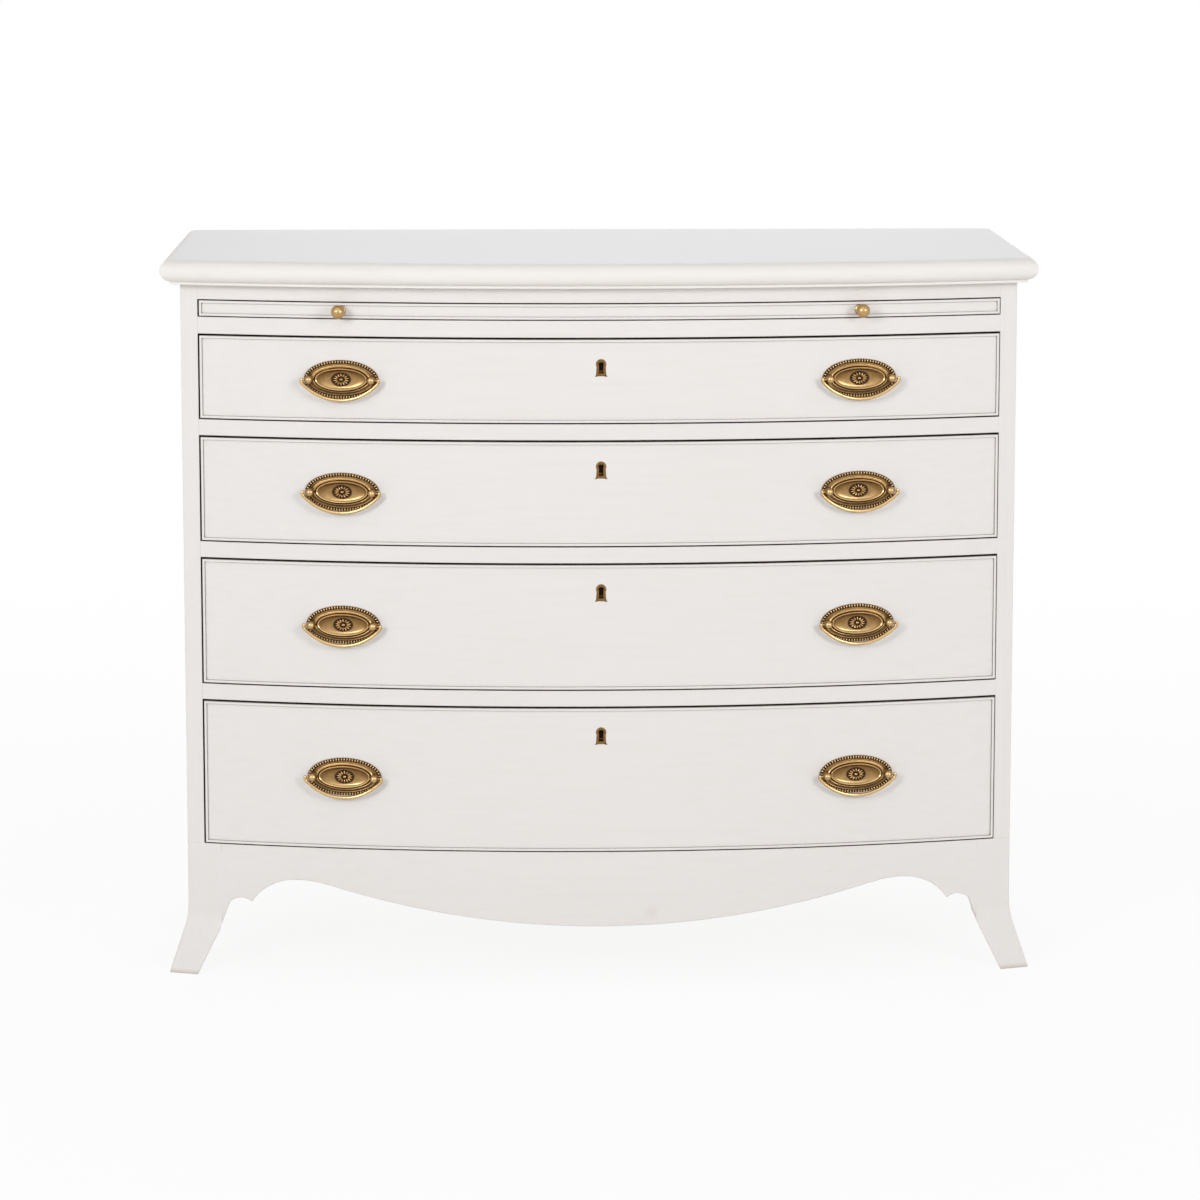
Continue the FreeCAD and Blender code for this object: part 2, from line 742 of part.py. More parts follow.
def shankBores(number):
    """Square holes through a drawer front for the posts of its two pulls."""
    bores = []
    width = "(shankWidth + 2 * shankClearance)"
    for hand in ("left", "right"):
        for side, across in (("outer", "postSpread"), ("inner", "-postSpread")):
            bore = doc.addObject("Part::Box", f"drawer_{number}_bore_{hand}_{side}")
            bore.setExpression("Length", bound(width))
            bore.setExpression("Width", bound("3 * drawerFrontThickness"))
            bore.setExpression("Height", bound(width))
            bores.append(placeOnFront(bore, hand, f"{pullHeight(number)} - {width} / 2",
                                      f"{across} - {width} / 2", "drawerFrontThickness"))
    return bores


def pullHeight(number):
    return f"(floor{number} + openingHeight{number} / 2)"


def makeDrawerFront(number, low, height):
    name = f"drawer_{number}_front"
    body = newBody(name + "_board")
    pad(body, bowedPlan(newSketch(body, "XY_Plane", low), "drawerHalf", "bowRadius",
                        inner="drawerInnerRadius"), height)
    for plane in ("drawerHalf", "drawerSideThickness - drawerHalf"):
        pocket(body, sideElevation(newSketch(body, "YZ_Plane", plane), number),
               "drawerSideThickness")
    top = f"{low} + {height}"
    recess = newSketch(body, "XZ_Plane", "lockDepth - frontInner")
    drawRectangle(recess, "-lockWidth / 2", f"{top} - lockHeight",
                  "lockWidth / 2", f"{top} + lockHeight")
    pocket(body, recess, "2 * lockDepth")
    pocket(body, escutcheonEdge(newSketch(body, "XZ_Plane", "-frontCrown"), number),
           "drawerFrontThickness")
    keep(name, cutWith(name, body, shankBores(number)))


def makeDrawerBox(number):
    pieces = []
    low = f"floor{number} + runningGap + drawerBottomRise"
    for hand, plane, groove in (("left", "-drawerHalf", "-boxHalf"),
                                ("right", "boxHalf", "boxHalf + grooveDepth")):
        body = newBody(f"drawer_{number}_side_{hand}")
        pad(body, sideElevation(newSketch(body, "YZ_Plane", plane), number),
            "drawerSideThickness")
        slot = newSketch(body, "YZ_Plane", groove)
        drawRectangle(slot, "tailRoot - 2 * tailLength", low, "drawerRear + tailLength",
                      f"{low} + drawerBottomThickness")
        pocket(body, slot, "grooveDepth")
        pieces.append(body)
    back = f"{low} + drawerBottomThickness"
    pieces.append(block(
        f"drawer_{number}_back", ("-boxHalf", "drawerRear - drawerBackThickness", back),
        ("2 * boxHalf", "drawerBackThickness",
         f"ceiling{number} - drawerGap - drawerSideDrop - drawerBackDrop - ({back})")))
    keep(f"drawer_{number}_box", pieces)
    bottom = newBody(f"drawer_{number}_bottom")
    plan = newSketch(bottom, "XY_Plane", low)
    bowedPlan(plan, "boxHalf + grooveDepth", "drawerInnerRadius", back="drawerRear")
    pad(bottom, plan, "drawerBottomThickness")
    keep(f"drawer_{number}_bottom", bottom)


def makeLock(number, top):
    """A lock let into the back of the drawer front, its bolt, and the brass keyhole edging."""
    case = newBody(f"drawer_{number}_lock_case")
    plan = newSketch(case, "XY_Plane", f"{top} - lockHeight")
    drawRectangle(plan, "-lockWidth / 2", "frontInner - lockDepth", "lockWidth / 2", "frontInner")
    pad(case, plan, "lockHeight")
    channel = boltPlan(newSketch(case, "XY_Plane", top), "boltClearance")
    pocket(case, channel, "boltLength + boltClearance")
    edging = newBody(f"drawer_{number}_escutcheon")
    outline = newSketch(edging, "XZ_Plane", "lockDepth - frontInner")
    escutcheonEdge(outline, number)
    keyOpening(outline, number)
    pad(edging, outline, "drawerFrontThickness - lockDepth + escutcheonProud")
    keep(f"drawer_{number}_lock", [case, edging])
    bolt = newBody(f"drawer_{number}_bolt")
    pad(bolt, boltPlan(newSketch(bolt, "XY_Plane", f"{top} - boltLength"), "0"), "boltLength")
    talon = newSketch(bolt, "XZ_Plane", "boltDepth / 2 - frontInner + lockDepth / 2")
    drawRectangle(talon, "-boltWidth / 4", f"{top} - 2 * boltLength",
                  "boltWidth / 4", f"{top} - boltLength + talonDepth")
    pocket(bolt, talon, "boltDepth")
    keep(f"drawer_{number}_bolt", bolt)


# ---- brass fittings, each made once about its own axis and copied to its places ----

def makePlate():
    """An oval back plate with a raised oval field and square holes for its two posts.

    Each oval is drawn with short straight sides.
    """
    body = newBody("pull_plate")
    for width, height, rise, sides in (("plateWidth", "plateHeight", "plateThickness", 20),
                                       ("ovalWidth", "ovalHeight", "plateThickness + ovalRise", 16)):
        outline = newSketch(body, "XZ_Plane")
        drawOutline(outline, [(f"{width} / 2 * cos({360 / sides * (corner + 0.5)})",
                               f"{height} / 2 * sin({360 / sides * (corner + 0.5)})")
                              for corner in range(sides)])
        pad(body, outline, rise)
    for sign in ("-1", "1"):
        hole = newSketch(body, "XZ_Plane", "plateThickness")
        half = "(shankWidth / 2 + shankClearance)"
        drawRectangle(hole, f"{sign} * postSpread - {half}", f"-{half}",
                      f"{sign} * postSpread + {half}", half)
        pocket(body, hole, "2 * plateThickness")
    return body


def ballRings(radius, centre, angles):
    """Rings of a ball, each at an angle from its front pole."""
    return [(f"{radius} * sin({angle})", f"-({centre}) - {radius} * cos({angle})")
            for angle in angles]


def makePost(hand):
    """A ball-ended post with a square shank; the bail's pin enters the ball from outside."""
    name = f"pull_post_{hand}"
    throat = "sqrt(postBallRadius^2 - postNeckRadius^2)"
    rings = ballRings("postBallRadius", "postStandoff", (30, 90))
    rings += [("postNeckRadius", f"{throat} - postStandoff"), ("postNeckRadius", "-plateThickness")]
    half = "shankWidth / 2"
    shank = block(name + "_shank", (f"-{half}", "-plateThickness", f"-{half}"),
                  ("shankWidth", "plateThickness + nutSeat + shankProjection", "shankWidth"))
    solid = doc.addObject("Part::MultiFuse", name + "_solid")
    solid.Shapes = [facetedTurning(name + "_ball", rings, 8), shank]
    half = "(bailPinRadius + bailPinClearance)"
    bottom = "(postBallRadius - bailPinDepth - bailPinClearance)"
    start = bottom if hand == "right" else "-2 * postBallRadius"
    hole = block(name + "_hole", (start, f"-postStandoff - {half}", f"-{half}"),
                 (f"2 * postBallRadius - {bottom}", f"2 * {half}", f"2 * {half}"))
    return cutWith(name, solid, [hole])


def drawCircle(sketch, x, y, radius):
    centre = FreeCAD.Vector(size(x), size(y), 0)
    circle = Part.Circle(centre, FreeCAD.Vector(0, 0, 1), size(radius))
    number = sketch.addGeometry(circle, False)
    tie(sketch, Sketcher.Constraint("DistanceX", -1, 1, number, 3, centre.x), "centreX", x)
    tie(sketch, Sketcher.Constraint("DistanceY", -1, 1, number, 3, centre.y), "centreY", y)
    tie(sketch, Sketcher.Constraint("Radius", number, size(radius)), "radius", radius)
    return sketch


def makeNut():
    """A square nut on the shank, hard against the back of the drawer front."""
    body = newBody("pull_nut")
    outline = newSketch(body, "XZ_Plane", "-nutSeat - nutThickness")
    for width in ("nutWidth", "shankWidth"):
        drawRectangle(outline, f"-{width} / 2", f"-{width} / 2", f"{width} / 2", f"{width} / 2")
    pad(body, outline, "nutThickness")
    return body


def makeBail():
    """A bowed bail with a pin turned in at each end, hanging from the posts.

    Each half of the bow runs up from the middle in short straight lengths, and stands
    upright beside its post.
    """
    body = newBody("pull_bail")
    path = newSketch(body, "XZ_Plane", "postStandoff")
    sweep = "asin(bailHalfWidth / bailRadius)"
    points = [(f"bailRadius * sin({sweep} * {share})",
               f"bailRadius - bailDrop - bailRadius * cos({sweep} * {share})")
              for share in shares(4)]
    drawPath(path, points + [("bailHalfWidth", "bailThickness / 2")])
    section = newSketch(body, "YZ_Plane")
    drawPolygon(section, "-postStandoff", "-bailDrop", "bailThickness / 2", 6)
    bow = body.newObject("PartDesign::AdditivePipe", "bail_bow")
    bow.Profile = section
    bow.Spine = (path, [])
    bow.Transition = "Right corner"
    inner = "(postSpread + postBallRadius - bailPinDepth)"
    pinEnd = newSketch(body, "YZ_Plane", inner)
    drawPolygon(pinEnd, "-postStandoff", "0", "bailPinRadius", 6)
    pin = pad(body, pinEnd, f"bailHalfWidth - {inner}")
    otherHalf = body.newObject("PartDesign::Mirrored", "bail_other_half")
    otherHalf.Originals = [bow, pin]
    otherHalf.MirrorPlane = (originPlane(body, "YZ_Plane"), [""])
    body.Tip = otherHalf
    return body


def drawPath(sketch, points):
    """An open run of straight lines."""
    ends = [FreeCAD.Vector(size(x), size(y), 0) for x, y in points]
    lines = [sketch.addGeometry(Part.LineSegment(start, end), False)
             for start, end in zip(ends, ends[1:])]
    for line, following in zip(lines, lines[1:]):
        sketch.addConstraint(Sketcher.Constraint("Coincident", line, 2, following, 1))
    places = [(line, 1) for line in lines] + [(lines[-1], 2)]
    for number, ((line, end), (x, y), point) in enumerate(zip(places, points, ends)):
        tie(sketch, Sketcher.Constraint("DistanceX", -1, 1, line, end, point.x), f"x{number}", x)
        tie(sketch, Sketcher.Constraint("DistanceY", -1, 1, line, end, point.y), f"y{number}", y)


def drawPolygon(sketch, x, y, radius, sides):
    """A regular polygon whose corners lie on the radius."""
    corners = [(f"({x}) + ({radius}) * cos({360 / sides * (corner + 0.5)})",
                f"({y}) + ({radius}) * sin({360 / sides * (corner + 0.5)})")
               for corner in range(sides)]
    return drawOutline(sketch, corners)


def makeKnob():
    """A turned brass knob: a ball on a neck and a small rose, with a tenon behind."""
    rings = ballRings("knobRadius", "knobLength - knobRadius", (25, 65, 105))
    rings += [("knobNeckRadius", "knobRadius - knobLength + sqrt(knobRadius^2 - knobNeckRadius^2)"),
              ("knobNeckRadius", "-2 * knobRoseThickness"),
              ("knobRoseRadius", "-knobRoseThickness"), ("knobRoseRadius", "0")]
    tenon = [("knobTenonRadius", "0"), ("knobTenonRadius", "knobTenonLength")]
    knob = doc.addObject("Part::MultiFuse", "slide_knob")
    knob.Shapes = [facetedTurning("knob_turning", rings, 10),
                   facetedTurning("knob_tenon", tenon, 10)]
    return knob


def makePulls(number, plate, posts, nut, bail):
    """Two pulls to a drawer; each bail moves, so each has a node of its own."""
    height = pullHeight(number)
    fittings = []
    for hand in ("left", "right"):
        stem = f"drawer_{number}_{hand}"
        fittings.append(copyOnFront(f"{stem}_plate", plate, hand, height))
        for side, post, across in (("left", posts[0], "-postSpread"),
                                   ("right", posts[1], "postSpread")):
            fittings.append(copyOnFront(f"{stem}_post_{side}", post, hand, height, across))
            fittings.append(copyOnFront(f"{stem}_nut_{side}", nut, hand, height, across))
        keep(f"drawer_{number}_bail_{hand}",
             copyOnFront(f"drawer_{number}_bail_{hand}", bail, hand, height))
    keep(f"drawer_{number}_pull_plates", fittings)


def makeDrawers():
    plate, nut, bail = makePlate(), makeNut(), makeBail()
    posts = [makePost("left"), makePost("right")]
    for number in (1, 2, 3, 4):
        low = f"floor{number} + drawerGap"
        height = f"(openingHeight{number} - 2 * drawerGap)"
        makeDrawerFront(number, low, height)
        makeDrawerBox(number)
        makeBead(f"drawer_{number}_bead", low, height)
        makeLock(number, f"{low} + {height}")
        makePulls(number, plate, posts, nut, bail)


def makeSlide():
    """The brushing slide: a bowed board with the same bead as the drawers and two knobs."""
    low, height = "slideFloor + runningGap", "(slideOpening - runningGap - drawerGap)"
    board = newBody("slide_board_blank")
    pad(board, bowedPlan(newSketch(board, "XY_Plane", low), "drawerHalf", "bowRadius",
                         back="frontCrown + slideDepth"), height)
    knob, bore = makeKnob(), newBody("knob_bore")
    pad(bore, drawCircle(newSketch(bore, "XZ_Plane", "-1.1 * knobTenonLength"), "0", "0",
                         "knobTenonRadius + shankClearance"), "2 * knobTenonLength")
    middle = f"{low} + {height} / 2"
    keep("slide_knobs", [copyOnFront(f"slide_knob_{hand}", knob, hand, middle)
                         for hand in ("left", "right")])
    bores = [copyOnFront(f"slide_bore_{hand}", bore, hand, middle)
             for hand in ("left", "right")]
    keep("slide_board", cutWith("slide_board", board, bores))
    makeBead("slide_bead", low, height)


# ---- the whole chest ----

def makeChest():
    makeTopBoard()
    makeSides()
    makeBackBoards()
    makeRails()
    makeRunners()
    makeStops()
    makeBottomBoard()
    makeFrontApron()
    makeSideAprons()
    makeFeet()
    makeGlueBlocks()
    makeSlide()
    makeDrawers()
    doc.recompute()


def writeNodes():
    failed = [thing.Name for thing in doc.Objects if {"Invalid", "Error"} & set(thing.State)]
    if failed:
        raise RuntimeError(f"failed to recompute: {failed}")
    for node, piece in nodes.items():
        if piece.Shape.isNull() or not piece.Shape.isValid():
            raise RuntimeError(f"{node} has no valid shape")
    os.makedirs("parts", exist_ok=True)
    for node, piece in nodes.items():
        piece.Shape.exportStep(f"parts/{node}.step")


makeChest()
writeNodes()
print(len(nodes), "sub-parts")
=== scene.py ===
import math

import bmesh
import bpy
from mathutils import Matrix, Vector


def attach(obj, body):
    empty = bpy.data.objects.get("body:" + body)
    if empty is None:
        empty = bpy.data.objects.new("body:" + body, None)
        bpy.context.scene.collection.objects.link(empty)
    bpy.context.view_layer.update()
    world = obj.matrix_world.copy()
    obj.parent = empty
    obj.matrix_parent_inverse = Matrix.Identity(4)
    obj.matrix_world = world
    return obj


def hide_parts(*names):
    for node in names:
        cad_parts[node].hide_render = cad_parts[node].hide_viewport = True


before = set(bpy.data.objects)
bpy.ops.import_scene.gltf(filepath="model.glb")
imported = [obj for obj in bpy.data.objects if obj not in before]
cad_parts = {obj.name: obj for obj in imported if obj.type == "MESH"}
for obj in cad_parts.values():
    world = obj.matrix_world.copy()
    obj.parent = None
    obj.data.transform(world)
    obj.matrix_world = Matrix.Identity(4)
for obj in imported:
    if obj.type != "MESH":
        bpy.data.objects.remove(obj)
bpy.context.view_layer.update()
mm = 0.001
print("frame loaded:", len(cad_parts), "nodes")


def deselect():
    bpy.ops.object.select_all(action="DESELECT")


def alone(piece):
    deselect()
    piece.select_set(True)
    bpy.context.view_layer.objects.active = piece


def pick(piece, kind, test):  # selects the parts of a mesh that pass a test
    bpy.ops.mesh.select_mode(type=kind)
    bpy.ops.mesh.select_all(action="DESELECT")
    shape = bmesh.from_edit_mesh(piece.data)
    shape.normal_update()
    for part in {"VERT": shape.verts, "EDGE": shape.edges, "FACE": shape.faces}[kind]:
        if test(part):
            part.select_set(True)
    bmesh.update_edit_mesh(piece.data)


def added(name):  # the primitive that was just made
    piece = bpy.context.active_object
    piece.name = piece.data.name = name
    return piece


def settle(piece, smoothAngle):  # its place goes into the mesh, and rounds are shaded smooth
    alone(piece)
    bpy.ops.object.transform_apply(location=True, rotation=True, scale=True)
    bpy.ops.object.shade_smooth_by_angle(angle=math.radians(smoothAngle))
    bpy.ops.object.modifier_add(type="WEIGHTED_NORMAL")
    piece.modifiers[-1].keep_sharp = True
    bpy.ops.object.modifier_apply(modifier=piece.modifiers[-1].name)
    return piece


def joined(name, pieces):
    alone(pieces[0])
    for piece in pieces:
        piece.select_set(True)
    bpy.ops.object.join()
    return added(name)


def copied(master, name, place):
    piece = bpy.data.objects.new(name, master.data.copy())
    piece.data.name = name
    piece.data.transform(place)
    bpy.context.scene.collection.objects.link(piece)
    return piece


def discard(masters):  # the copies stay
    for master in masters.values():
        bpy.data.objects.remove(master)


def dress(piece, body, material, slot, *nodes):
    piece.data.materials.clear()
    piece.data.materials.append(material)
    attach(piece, body)
    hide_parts(*nodes)
    return piece


def inMetres(rows):  # rows of millimetres
    return [tuple(value * mm for value in row) for row in rows]


def camelCase(node):
    first, *others = node.split("_")
    return first + "".join(word.capitalize() for word in others)


bow = {"centre": 1737 * mm, "radius": 1970 * mm}  # the front of the case, seen from above
footJoint = 469.8 * mm  # the foot meets the apron here, left and right of the middle


def bowward(place):  # level, straight out from the axis of the bow
    return Vector((place.x, place.y - bow["centre"], 0)).normalized()


def bowReach(place):
    return math.hypot(place.x, place.y - bow["centre"])


def middleOf(places):
    return sum(places, Vector()) / len(places)


# angles in degrees: how far a face may be off the bow or the flat that it stands for, and how far
# a corner may turn to follow a neighbour's surface or to blend with its facets
shading = {"bowSpread": 0.3 * mm, "bowAngle": 8, "flatAngle": 1, "follow": 35, "blend": 40}


def boardSurface(normal, places):  # the true normal at each place of a face, where it is known
    reaches = [bowReach(place) for place in places]
    facing = normal.dot(bowward(middleOf(places)))
    level = max(reaches) - min(reaches) < shading["bowSpread"]
    if level and abs(facing) > math.cos(math.radians(shading["bowAngle"])):
        return lambda place: bowward(place) * math.copysign(1, facing)
    for axis in range(3):
        if abs(normal[axis]) > math.cos(math.radians(shading["flatAngle"])):
            flat = Vector([round(normal[part]) if part == axis else 0 for part in range(3)])
            return lambda place: flat
    return None


def trueNormals(piece, surfaceOf):  # corners turn as the smooth surfaces do, not the facets
    mesh = piece.data
    follow = math.cos(math.radians(shading["follow"]))
    blend = math.cos(math.radians(shading["blend"]))
    meets = [[] for vert in mesh.vertices]
    for face in mesh.polygons:
        places = [mesh.vertices[index].co for index in face.vertices]
        surface = surfaceOf(face.normal, places)
        for index, place in zip(face.vertices, places):
            true = surface and surface(place)
            meets[index].append((face.index, face.normal.copy(), face.area, true))
    corners = []
    for face in mesh.polygons:
        face.use_smooth = True
        for index in face.vertices:
            own = [true for number, _, _, true in meets[index] if true and number == face.index]
            near = [true for _, _, _, true in meets[index]
                    if true and true.dot(face.normal) > follow]
            if own:
                corners.append(own[0])
            elif near:
                corners.append(max(near, key=face.normal.dot))
            else:
                turned = Vector()
                for _, normal, area, _ in meets[index]:
                    if normal.dot(face.normal) > blend:
                        turned += normal * area
                corners.append(turned.normalized())
    mesh.normals_split_custom_set(corners)
    return piece


class Wire:  # one output socket: sums and products of wires add their own Math nodes
    def __init__(self, finish, socket):
        self.finish = finish
        self.socket = socket

    def maths(self, operation, first, second):
        return self.finish.add("Math", {"operation": operation}, {0: first, 1: second})

    def __add__(self, other):
        return self.maths("ADD", self, other)

    def __sub__(self, other):
        return self.maths("SUBTRACT", self, other)

    def __rsub__(self, other):
        return self.maths("SUBTRACT", other, self)

    def __mul__(self, other):
        return self.maths("MULTIPLY", self, other)

    __radd__ = __add__
    __rmul__ = __mul__


class Finish:  # the nodes of one material, or of the world
    def __init__(self, owner):
        owner.use_nodes = True
        self.owner = owner
        self.tree = owner.node_tree
        self.tree.nodes.clear()

    def add(self, kind, settings=None, sockets=None, output=0):
        node = self.tree.nodes.new("ShaderNode" + kind)
        for name, value in (settings or {}).items():
            if name == "stops":
                for number, (place, shade) in enumerate(value):
                    elements = node.color_ramp.elements
                    stop = elements[number] if number < 2 else elements.new(place)
                    stop.position = place
                    stop.color = (shade, shade, shade, 1)
            else:
                setattr(node, name, value)
        for name, value in (sockets or {}).items():
            if isinstance(value, Wire):
                self.tree.links.new(value.socket, node.inputs[name])
            else:
                node.inputs[name].default_value = value
        return Wire(self, node.outputs[output]) if node.outputs else None

    def place(self):
        return self.add("TexCoord", output="Object")

    def normal(self):
        return self.add("NewGeometry", output="Normal")

    def part(self, letter, vector=None):
        return self.add("SeparateXYZ", {}, {0: vector or self.place()}, output=letter)

    def noise(self, stretch, detail=3.0, roughness=0.5, shift=(0, 0, 0)):
        place = self.add("Mapping", {}, {"Vector": self.place(), "Location": shift,
                                         "Scale": stretch})
        return self.add("TexNoise", {}, {"Vector": place, "Scale": 1.0, "Detail": detail,
                                         "Roughness": roughness})

    def between(self, value, low, high):  # 0 up to low, 1 from high on
        return self.add("MapRange", {}, {0: value, 1: low, 2: high})

    def mix(self, share, first, second):
        return self.add("Mix", {"data_type": "RGBA"}, {0: share, 6: first, 7: second}, output=2)

    def recess(self, reach):  # near 1 in gaps and corners
        return 1 - self.add("AmbientOcclusion", {"samples": 6}, {"Distance": reach}, output="AO")

    def size(self, value):  # without its sign
        return self.add("Math", {"operation": "ABSOLUTE"}, {0: value})

    def edge(self, radius):  # 0 on a flat face, about 0.3 on a square edge
        rounded = self.add("Bevel", {"samples": 4}, {"Radius": radius})
        return 1 - self.add("VectorMath", {"operation": "DOT_PRODUCT"},
                            {0: rounded, 1: self.normal()}, output="Value")

    def bump(self, height, strength, depth):
        return self.add("Bump", {}, {"Height": height, "Strength": strength, "Distance": depth})

    def surface(self, **sockets):
        named = {name.replace("_", " "): value for name, value in sockets.items()}
        self.add("OutputMaterial", {}, {"Surface": self.add("BsdfPrincipled", {}, named)})
        return self.owner


def along(axis, lengthwise, across):  # a stretch for noise that runs with a board's length
    return [lengthwise if letter == axis else across for letter in "XYZ"]


paintLook = {
    "white": (0.80, 0.771, 0.75, 1),
    "worn": (0.71, 0.665, 0.61, 1),
    # painted light on the top board: the nose is painted lighter than the front (painted
    # highlight), and the level top darker and cooler (painted shade)
    "nose": (0.85, 0.82, 0.785, 1),
    "board": (0.73, 0.73, 0.745, 1),
    "knot": (0.60, 0.53, 0.45, 1),
    "timber": (0.36, 0.24, 0.14, 1),
    # the corner colour is dust with painted shade, and the gap colour is painted shade, near black,
    # deep in the gaps
    "dust": (0.50, 0.40, 0.30, 1),
    "grime": (0.040, 0.022, 0.015, 1),
    "roughness": 0.5,
    "gloss": 0.22,
    "strokes": (14, 620),  # how often the brush marks change in a metre, with the board and across
    "streaks": (5, 170),
    "clouds": 3.5,
    "knots": 4.2,
    "edge": 1.8 * mm,  # how far in an edge is rubbed
    "corner": 5 * mm,  # how far dust and painted shade reach out of a corner
    "soiled": 6 * mm,  # the feet are dark up to here
    "wearHeight": 155 * mm,  # the feet and the apron are rubbed up to here
    "dustShare": 0.4,
    "gapShadeShare": 0.96,
}


def paintFinish(name, axis, nosed=False):  # brushed paint; axis is the board's length
    finish = Finish(bpy.data.materials.new(name))
    strokes = finish.noise(along(axis, *paintLook["strokes"]), detail=2)
    streaks = finish.noise(along(axis, *paintLook["streaks"]), detail=3, shift=(3, 1, 2))
    cloud = finish.noise([paintLook["clouds"]] * 3, detail=3, shift=(7, 2, 5))
    height = finish.part("Z")
    low = 1 - finish.between(height, paintLook["wearHeight"] - 5 * mm, paintLook["wearHeight"])
    white = paintLook["white"]
    # painted light: level faces take the darker, cooler top colour (painted shade), and the nose
    # takes the lighter nose colour (painted highlight)
    if nosed:
        upward = finish.part("Z", finish.normal())
        white = finish.mix(finish.between(upward, 0.985, 0.999), paintLook["nose"],
                           paintLook["board"])
    colour = finish.mix(finish.between(streaks, 0.45, 0.8) * 0.2, white, paintLook["worn"])
    colour = finish.mix(finish.between(cloud, 0.42, 0.75) * (0.07 + low * 0.05), colour,
                        paintLook["worn"])
    cells = finish.add("TexVoronoi", {}, {"Vector": finish.place(), "Scale": paintLook["knots"]})
    colour = finish.mix((1 - finish.between(cells, 0.012, 0.05)) * 0.25, colour,
                        paintLook["knot"])
    # the paint runs unbroken over the joint of foot and apron, so no rub and no painted corner
    # shade is drawn there
    joint = finish.size(finish.size(finish.part("X")) - footJoint)
    clear = 1 - low * (1 - finish.between(joint, mm, 5 * mm))
    rub = finish.edge(paintLook["edge"]) * (1.2 + low * 3.0) * clear
    rub = rub + finish.noise((45, 45, 45)) * 0.7
    colour = finish.mix(finish.between(rub, 0.75, 1.15) * 0.85, colour, paintLook["timber"])
    colour = finish.mix((1 - finish.between(height, 0, paintLook["soiled"])) * 0.4, colour,
                        paintLook["timber"])
    recess = finish.recess(paintLook["corner"]) * clear
    # painted shade from the occlusion: a brown tint in corners, partly dust, and near black deep in
    # the gaps
    dust = finish.between(recess, 0.26, 0.5)
    colour = finish.mix(dust * paintLook["dustShare"], colour, paintLook["dust"])
    grime = finish.between(recess, 0.46, 0.66)
    colour = finish.mix(grime * paintLook["gapShadeShare"], colour, paintLook["grime"])
    return finish.surface(
        Base_Color=colour,
        Roughness=paintLook["roughness"] + strokes * 0.12 + grime * 0.3,
        Specular_IOR_Level=paintLook["gloss"],
        Normal=finish.bump(strokes * 0.5 + streaks, 0.22, 0.3 * mm))


woodLook = {
    "pale": (0.60, 0.42, 0.25, 1),
    "brown": (0.36, 0.21, 0.105, 1),
    "dirt": (0.07, 0.04, 0.02, 1),
    "wander": (0.6, 9),
    "rings": (3.5, 60),
    "fibre": (30, 700),
    "ringCount": 9,
    "ringTone": ((0, 0.1), (0.75, 0.5), (0.93, 1), (1, 0.1)),  # across one ring of growth
    "corner": 12 * mm,
}


def woodFinish(name, axis):  # old pine, waxed by use; axis is the grain
    finish = Finish(bpy.data.materials.new(name))
    wander = finish.noise(along(axis, *woodLook["wander"]), detail=2)
    rings = finish.noise(along(axis, *woodLook["rings"]), detail=3, shift=(1, 5, 3))
    fibre = finish.noise(along(axis, *woodLook["fibre"]), detail=3, roughness=0.6)
    bands = finish.add("Math", {"operation": "FRACT"},
                       {0: wander * woodLook["ringCount"] + rings * 0.6})
    grain = finish.add("ValToRGB", {"stops": woodLook["ringTone"]}, {0: bands})
    colour = finish.mix(grain * 0.7, woodLook["pale"], woodLook["brown"])
    colour = finish.mix(finish.between(fibre, 0.5, 0.75) * 0.35, colour, woodLook["brown"])
    # painted shade with some dirt: darker in corners and gaps
    colour = finish.mix(finish.between(finish.recess(woodLook["corner"]), 0.5, 1) * 0.7,
                        colour, woodLook["dirt"])
    return finish.surface(
        Base_Color=colour,
        Roughness=0.5 + fibre * 0.2,
        Normal=finish.bump(fibre + grain * 0.3, 0.3, 0.3 * mm))


brassLook = {
    "bright": (0.68, 0.46, 0.215, 1),
    "aged": (0.225, 0.122, 0.042, 1),
    "soot": (0.022, 0.010, 0.004, 1),
    "tarnish": 170,
    "pits": 1500,
    "corner": 2 * mm,
}


def brassFinish(name):  # bright where hands rub it, dark in its hollows, with the painted highlight and shade marked on some pieces
    finish = Finish(bpy.data.materials.new(name))
    wear = finish.add("Attribute", {"attribute_name": "wear"}, output="Fac")
    tarnish = finish.noise([brassLook["tarnish"]] * 3, detail=4, roughness=0.6)
    pits = finish.noise([brassLook["pits"]] * 3, detail=2)
    tone = wear + tarnish * 0.35 - finish.recess(brassLook["corner"]) * 0.7
    shine = finish.between(tone, 0.45, 1.1)
    hollow = 1 - finish.between(tone, 0.0, 0.4)
    colour = finish.mix(shine, brassLook["aged"], brassLook["bright"])
    colour = finish.mix(hollow * 0.97, colour, brassLook["soot"])
    return finish.surface(
        Base_Color=colour,
        Metallic=1.0 - hollow * 0.4,
        Roughness=0.36 - shine * 0.14 + hollow * 0.25,
        Normal=finish.bump(pits + tarnish, 0.12, 0.12 * mm))


steelLook = {
    "dark": (0.22, 0.21, 0.20, 1),
    "pale": (0.36, 0.35, 0.33, 1),
    "rust": (0.12, 0.06, 0.03, 1),
    "scratches": (40, 900, 900),
    "spots": 120,
}


def steelFinish(name):
    finish = Finish(bpy.data.materials.new(name))
    scratch = finish.noise(steelLook["scratches"], detail=3)
    spots = finish.noise([steelLook["spots"]] * 3, detail=5, roughness=0.7)
    rust = finish.between(spots, 0.55, 0.75)
    colour = finish.mix(scratch, steelLook["dark"], steelLook["pale"])
    colour = finish.mix(rust * 0.6, colour, steelLook["rust"])
    return finish.surface(
        Base_Color=colour,
        Metallic=1.0 - rust * 0.6,
        Roughness=0.35 + scratch * 0.15 + rust * 0.3,
        Normal=finish.bump(scratch + rust, 0.2, 0.1 * mm))


